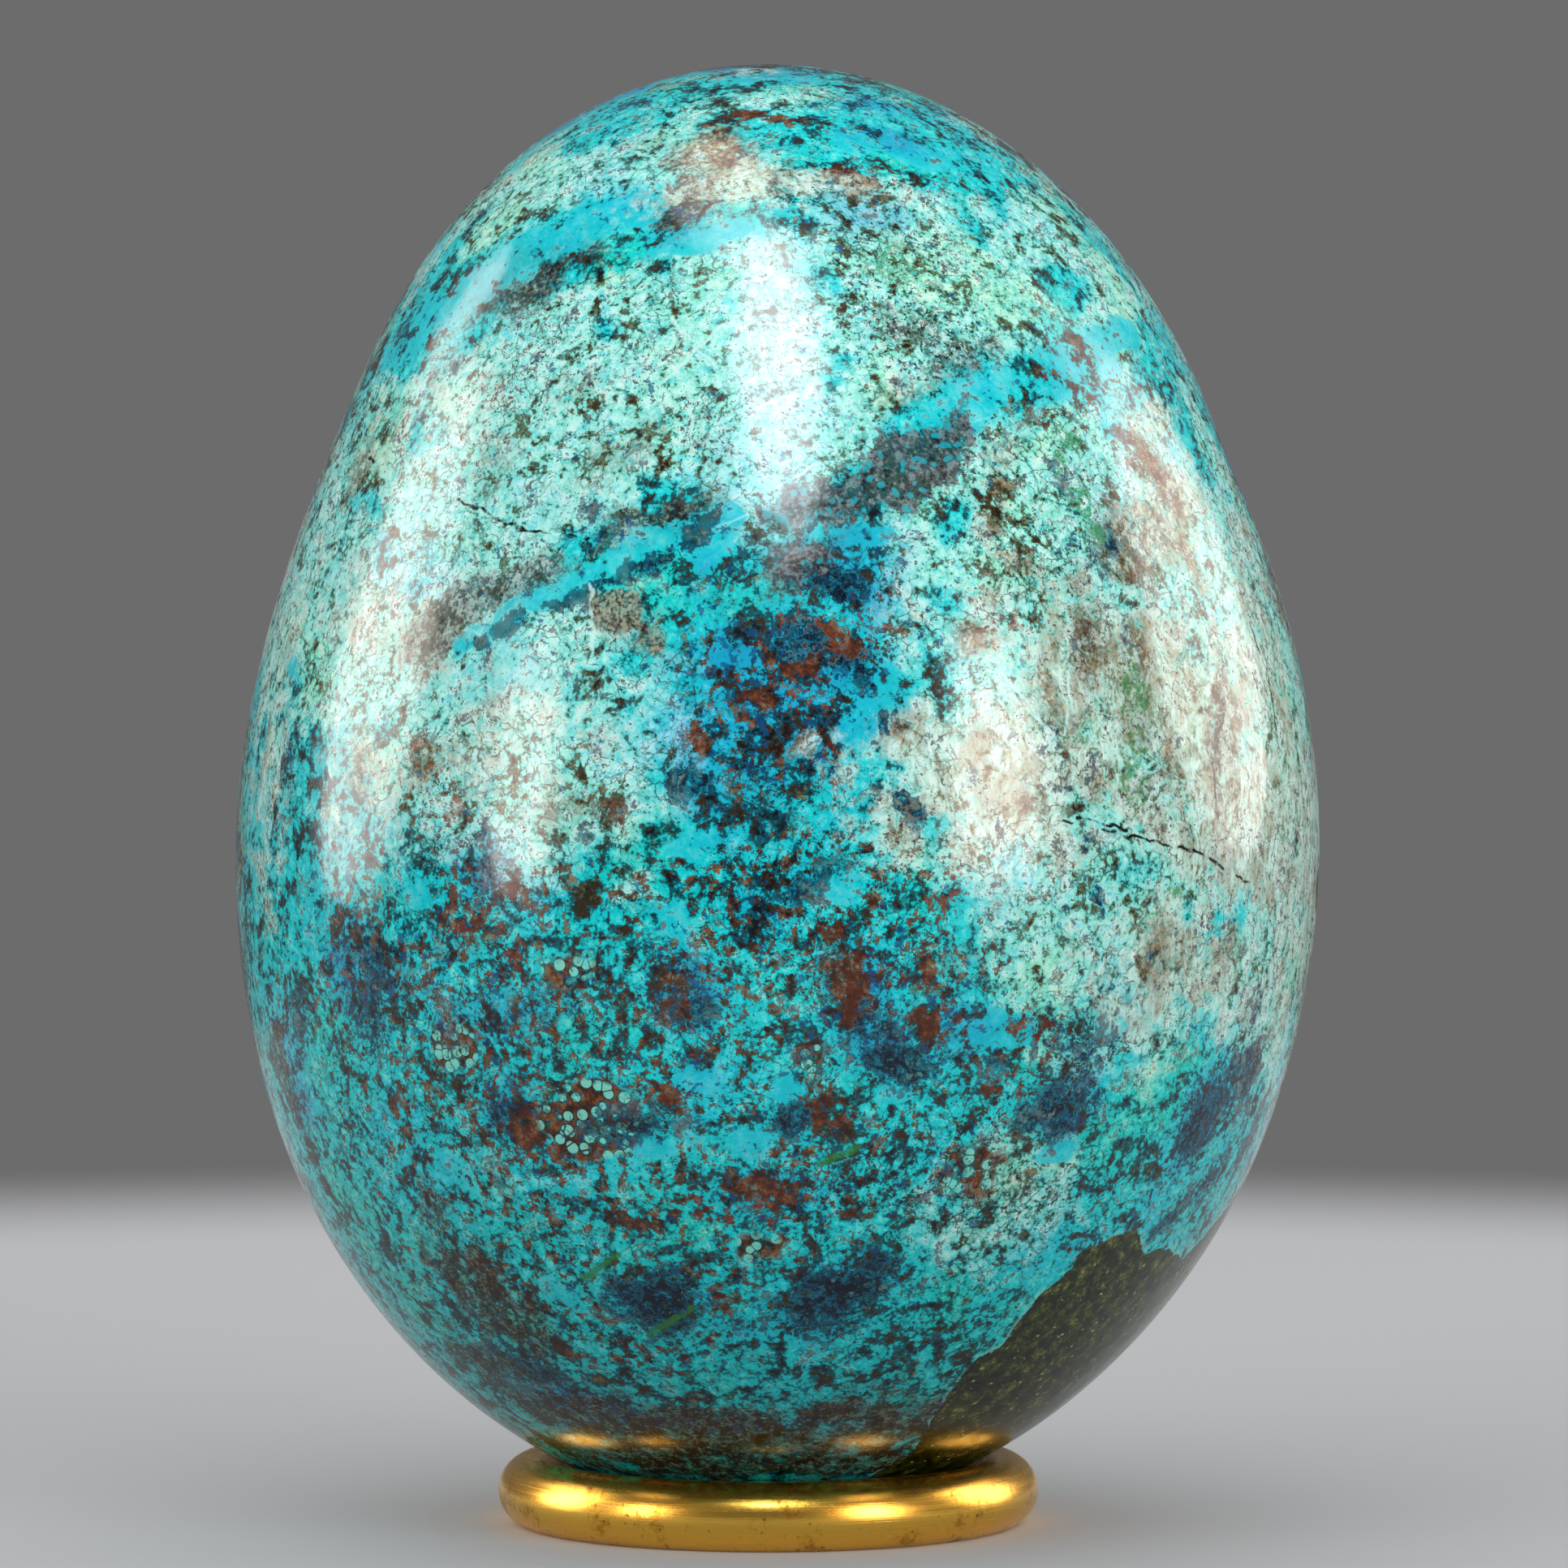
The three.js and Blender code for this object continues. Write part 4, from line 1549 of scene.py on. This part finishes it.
specks = brass.clouds(brass_place, 0.35, 2.0, 0.6)
tarnish_mask = brass.step(tarnish + specks * 0.35, 0.02, 0.2)
spots = brass.step(specks + tarnish * 0.4, 0.17, 0.24)
brass_colour = brass.blend(colour(240, 192, 80), colour(186, 134, 46), tarnish_mask)
brass_colour = brass.blend(brass_colour, colour(96, 64, 22), spots * 0.7)
rubbed_roughness = 0.25
brass_roughness = rubbed_roughness + tarnish_mask * 0.08 + scratches * 0.2 + spots * 0.15
brass_normal = brass.node("ShaderNodeBump", {}, {
    "Strength": 0.4, "Distance": relief_depth * MM, "Height": scratches + specks * 0.4})
brass_surface = brass.node("ShaderNodeBsdfPrincipled", {}, {
    "Base Color": brass_colour, "Roughness": brass_roughness, "Metallic": 1.0,
    "Normal": brass_normal})
brass.show(brass_surface)
ring.data.materials.append(brass.holder)
brass.tell("the finish of the brass")

# %% [markdown]
# ## The floor and the light
#
# The egg stands on a plain pale floor in front of a grey backdrop. Far from the egg the floor fades
# into the colour of the backdrop, as a long sweep of paper does in a studio. A pale floor also throws
# light up at the stone and would bleach its lower half. So only the eye and mirrors find it pale.
# Light that bounces finds a darker one. Either way it is a floor, and keeps the egg's shadow.

# %% Lay the floor
backdrop_colour = colour(108, 108, 109)
floor_colour = colour(186, 187, 189)
bounce_colour = colour(84, 92, 95)
floor_radius = 4000.0
fade_start = 165.0
fade_end = 235.0
floor = Finish(bpy.data.materials.new("floor"))
from_egg = floor.distance(floor.in_millimetres(), (0.0, 0.0, 0.0))
eye_sees = floor.meets_the_eye()
fade = floor.step(from_egg, fade_start, fade_end) * eye_sees
floor_surface = floor.node("ShaderNodeBsdfPrincipled", {}, {
    "Base Color": floor.blend(bounce_colour, floor_colour, eye_sees), "Roughness": 0.8,
    "Specular IOR Level": 0.1})
backdrop = floor.node("ShaderNodeEmission", {}, {"Color": backdrop_colour})
floor.show(floor.node("ShaderNodeMixShader", {}, {0: fade, 1: floor_surface, 2: backdrop}))
floor_mesh = bmesh.new()
bmesh.ops.create_circle(floor_mesh, cap_ends=True, segments=96, radius=floor_radius * MM)
studio_floor = piece_from(floor_mesh, "studio_floor")
studio_floor.data.materials.append(floor.holder)
print("laid the floor")

# %% [markdown]
# The room does two jobs. To the eye, and in mirrors, it has the colour of the backdrop. To everything
# else it is a white room that lights the egg evenly from all sides.

# %% Light the room
room_light = 0.88
room = Finish(bpy.data.worlds.new("room"))
bpy.context.scene.world = room.holder
seen_room = room.node("ShaderNodeBackground", {}, {"Color": backdrop_colour})
lighting_room = room.node(
    "ShaderNodeBackground", {}, {"Color": (1.0, 1.0, 1.0), "Strength": room_light})
room.show(
    room.node("ShaderNodeMixShader", {}, {0: room.meets_the_eye(), 1: lighting_room, 2: seen_room}),
    "ShaderNodeOutputWorld")
bpy.context.scene.view_settings.view_transform = "Standard"
print("lit the room")

# %% [markdown]
# Each softbox was placed by its reflection: the direction from the egg in which its highlight in the
# photograph mirrors the camera's line of sight. That gives two boxes at the front, two tall ones at
# the sides, two smaller ones above those, and a strip and a lamp overhead. To show in the polish of a
# pale stone such boxes have to be very bright, and would bleach it. So the boxes only make the
# highlights, and two wide fill lamps that leave no highlight light the stone.

# %% Hang the softboxes
egg_middle = Vector((0, 0, 42.0))
softbox_distance = 450.0
fill_distance = 900.0
white = (1.0, 1.0, 1.0)


def hang(distance, name, bearing, elevation, width, height, brightness, tint):
    """An area lamp that faces the egg. Brightness is what its face would render as."""
    turn, rise = math.radians(bearing), math.radians(elevation)
    away = Vector((math.sin(turn) * math.cos(rise), -math.cos(turn) * math.cos(rise),
                   math.sin(rise)))
    lamp = bpy.data.lights.new(name, "AREA")
    lamp.shape = "ELLIPSE"
    lamp.size = width * MM
    lamp.size_y = height * MM
    lamp.color = tint
    lamp.energy = brightness * math.pi * math.pi / 4 * lamp.size * lamp.size_y
    box = bpy.data.objects.new(name, lamp)
    box.location = (egg_middle + away * distance) * MM
    box.rotation_euler = (-away).to_track_quat("-Z", "Y").to_euler()
    box.visible_camera = False
    bpy.context.scene.collection.objects.link(box)
    return box


softboxes = [
    # name, bearing, elevation, width, height, brightness, tint
    ("right front box", 46, 8, 150, 320, 11.0, (1.0, 0.76, 0.69)),
    ("left front box", -55, 8, 125, 250, 9.5, (1.0, 0.76, 0.69)),
    ("left side strip", -98, 13, 215, 350, 7.6, (1.0, 0.83, 0.74)),
    ("right side strip", 110, 14, 290, 300, 4.8, (1.0, 0.8, 0.72)),
    ("left upper box", -118, 32, 100, 130, 5.0, (1.0, 0.74, 0.66)),
    ("right upper box", 104, 34, 130, 150, 3.4, (1.0, 0.84, 0.78)),
    ("overhead strip", 2, 57, 150, 320, 16.0, (0.93, 0.97, 1.0)),
    ("overhead lamp", -82, 81, 320, 130, 5.4, (1.0, 0.7, 0.6)),
]
fill_lamps = [
    ("right fill lamp", 44, 12, 600, 600, 4.2, white),
    ("left fill lamp", -52, 14, 600, 600, 2.7, white),
]
for softbox in softboxes:
    hang(softbox_distance, *softbox).visible_diffuse = False
for fill_lamp in fill_lamps:
    hang(fill_distance, *fill_lamp).visible_glossy = False
print("hung", len(softboxes), "softboxes and", len(fill_lamps), "fill lamps")

# %% [markdown]
# ## Putting it together
#
# Each finished piece stands for its construction solid and moves with the same body, so the egg
# lifts off the ring just as the solid does.

# %% Hand the pieces over
for piece, node_name, body, slot in (
        (egg, "stone_egg", "egg", "polished_stone"),
        (ring, "brass_ring_stand", "ring", "polished_brass")):
    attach(piece, body)
    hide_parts(node_name)
    print(piece.name, "rides on", body)
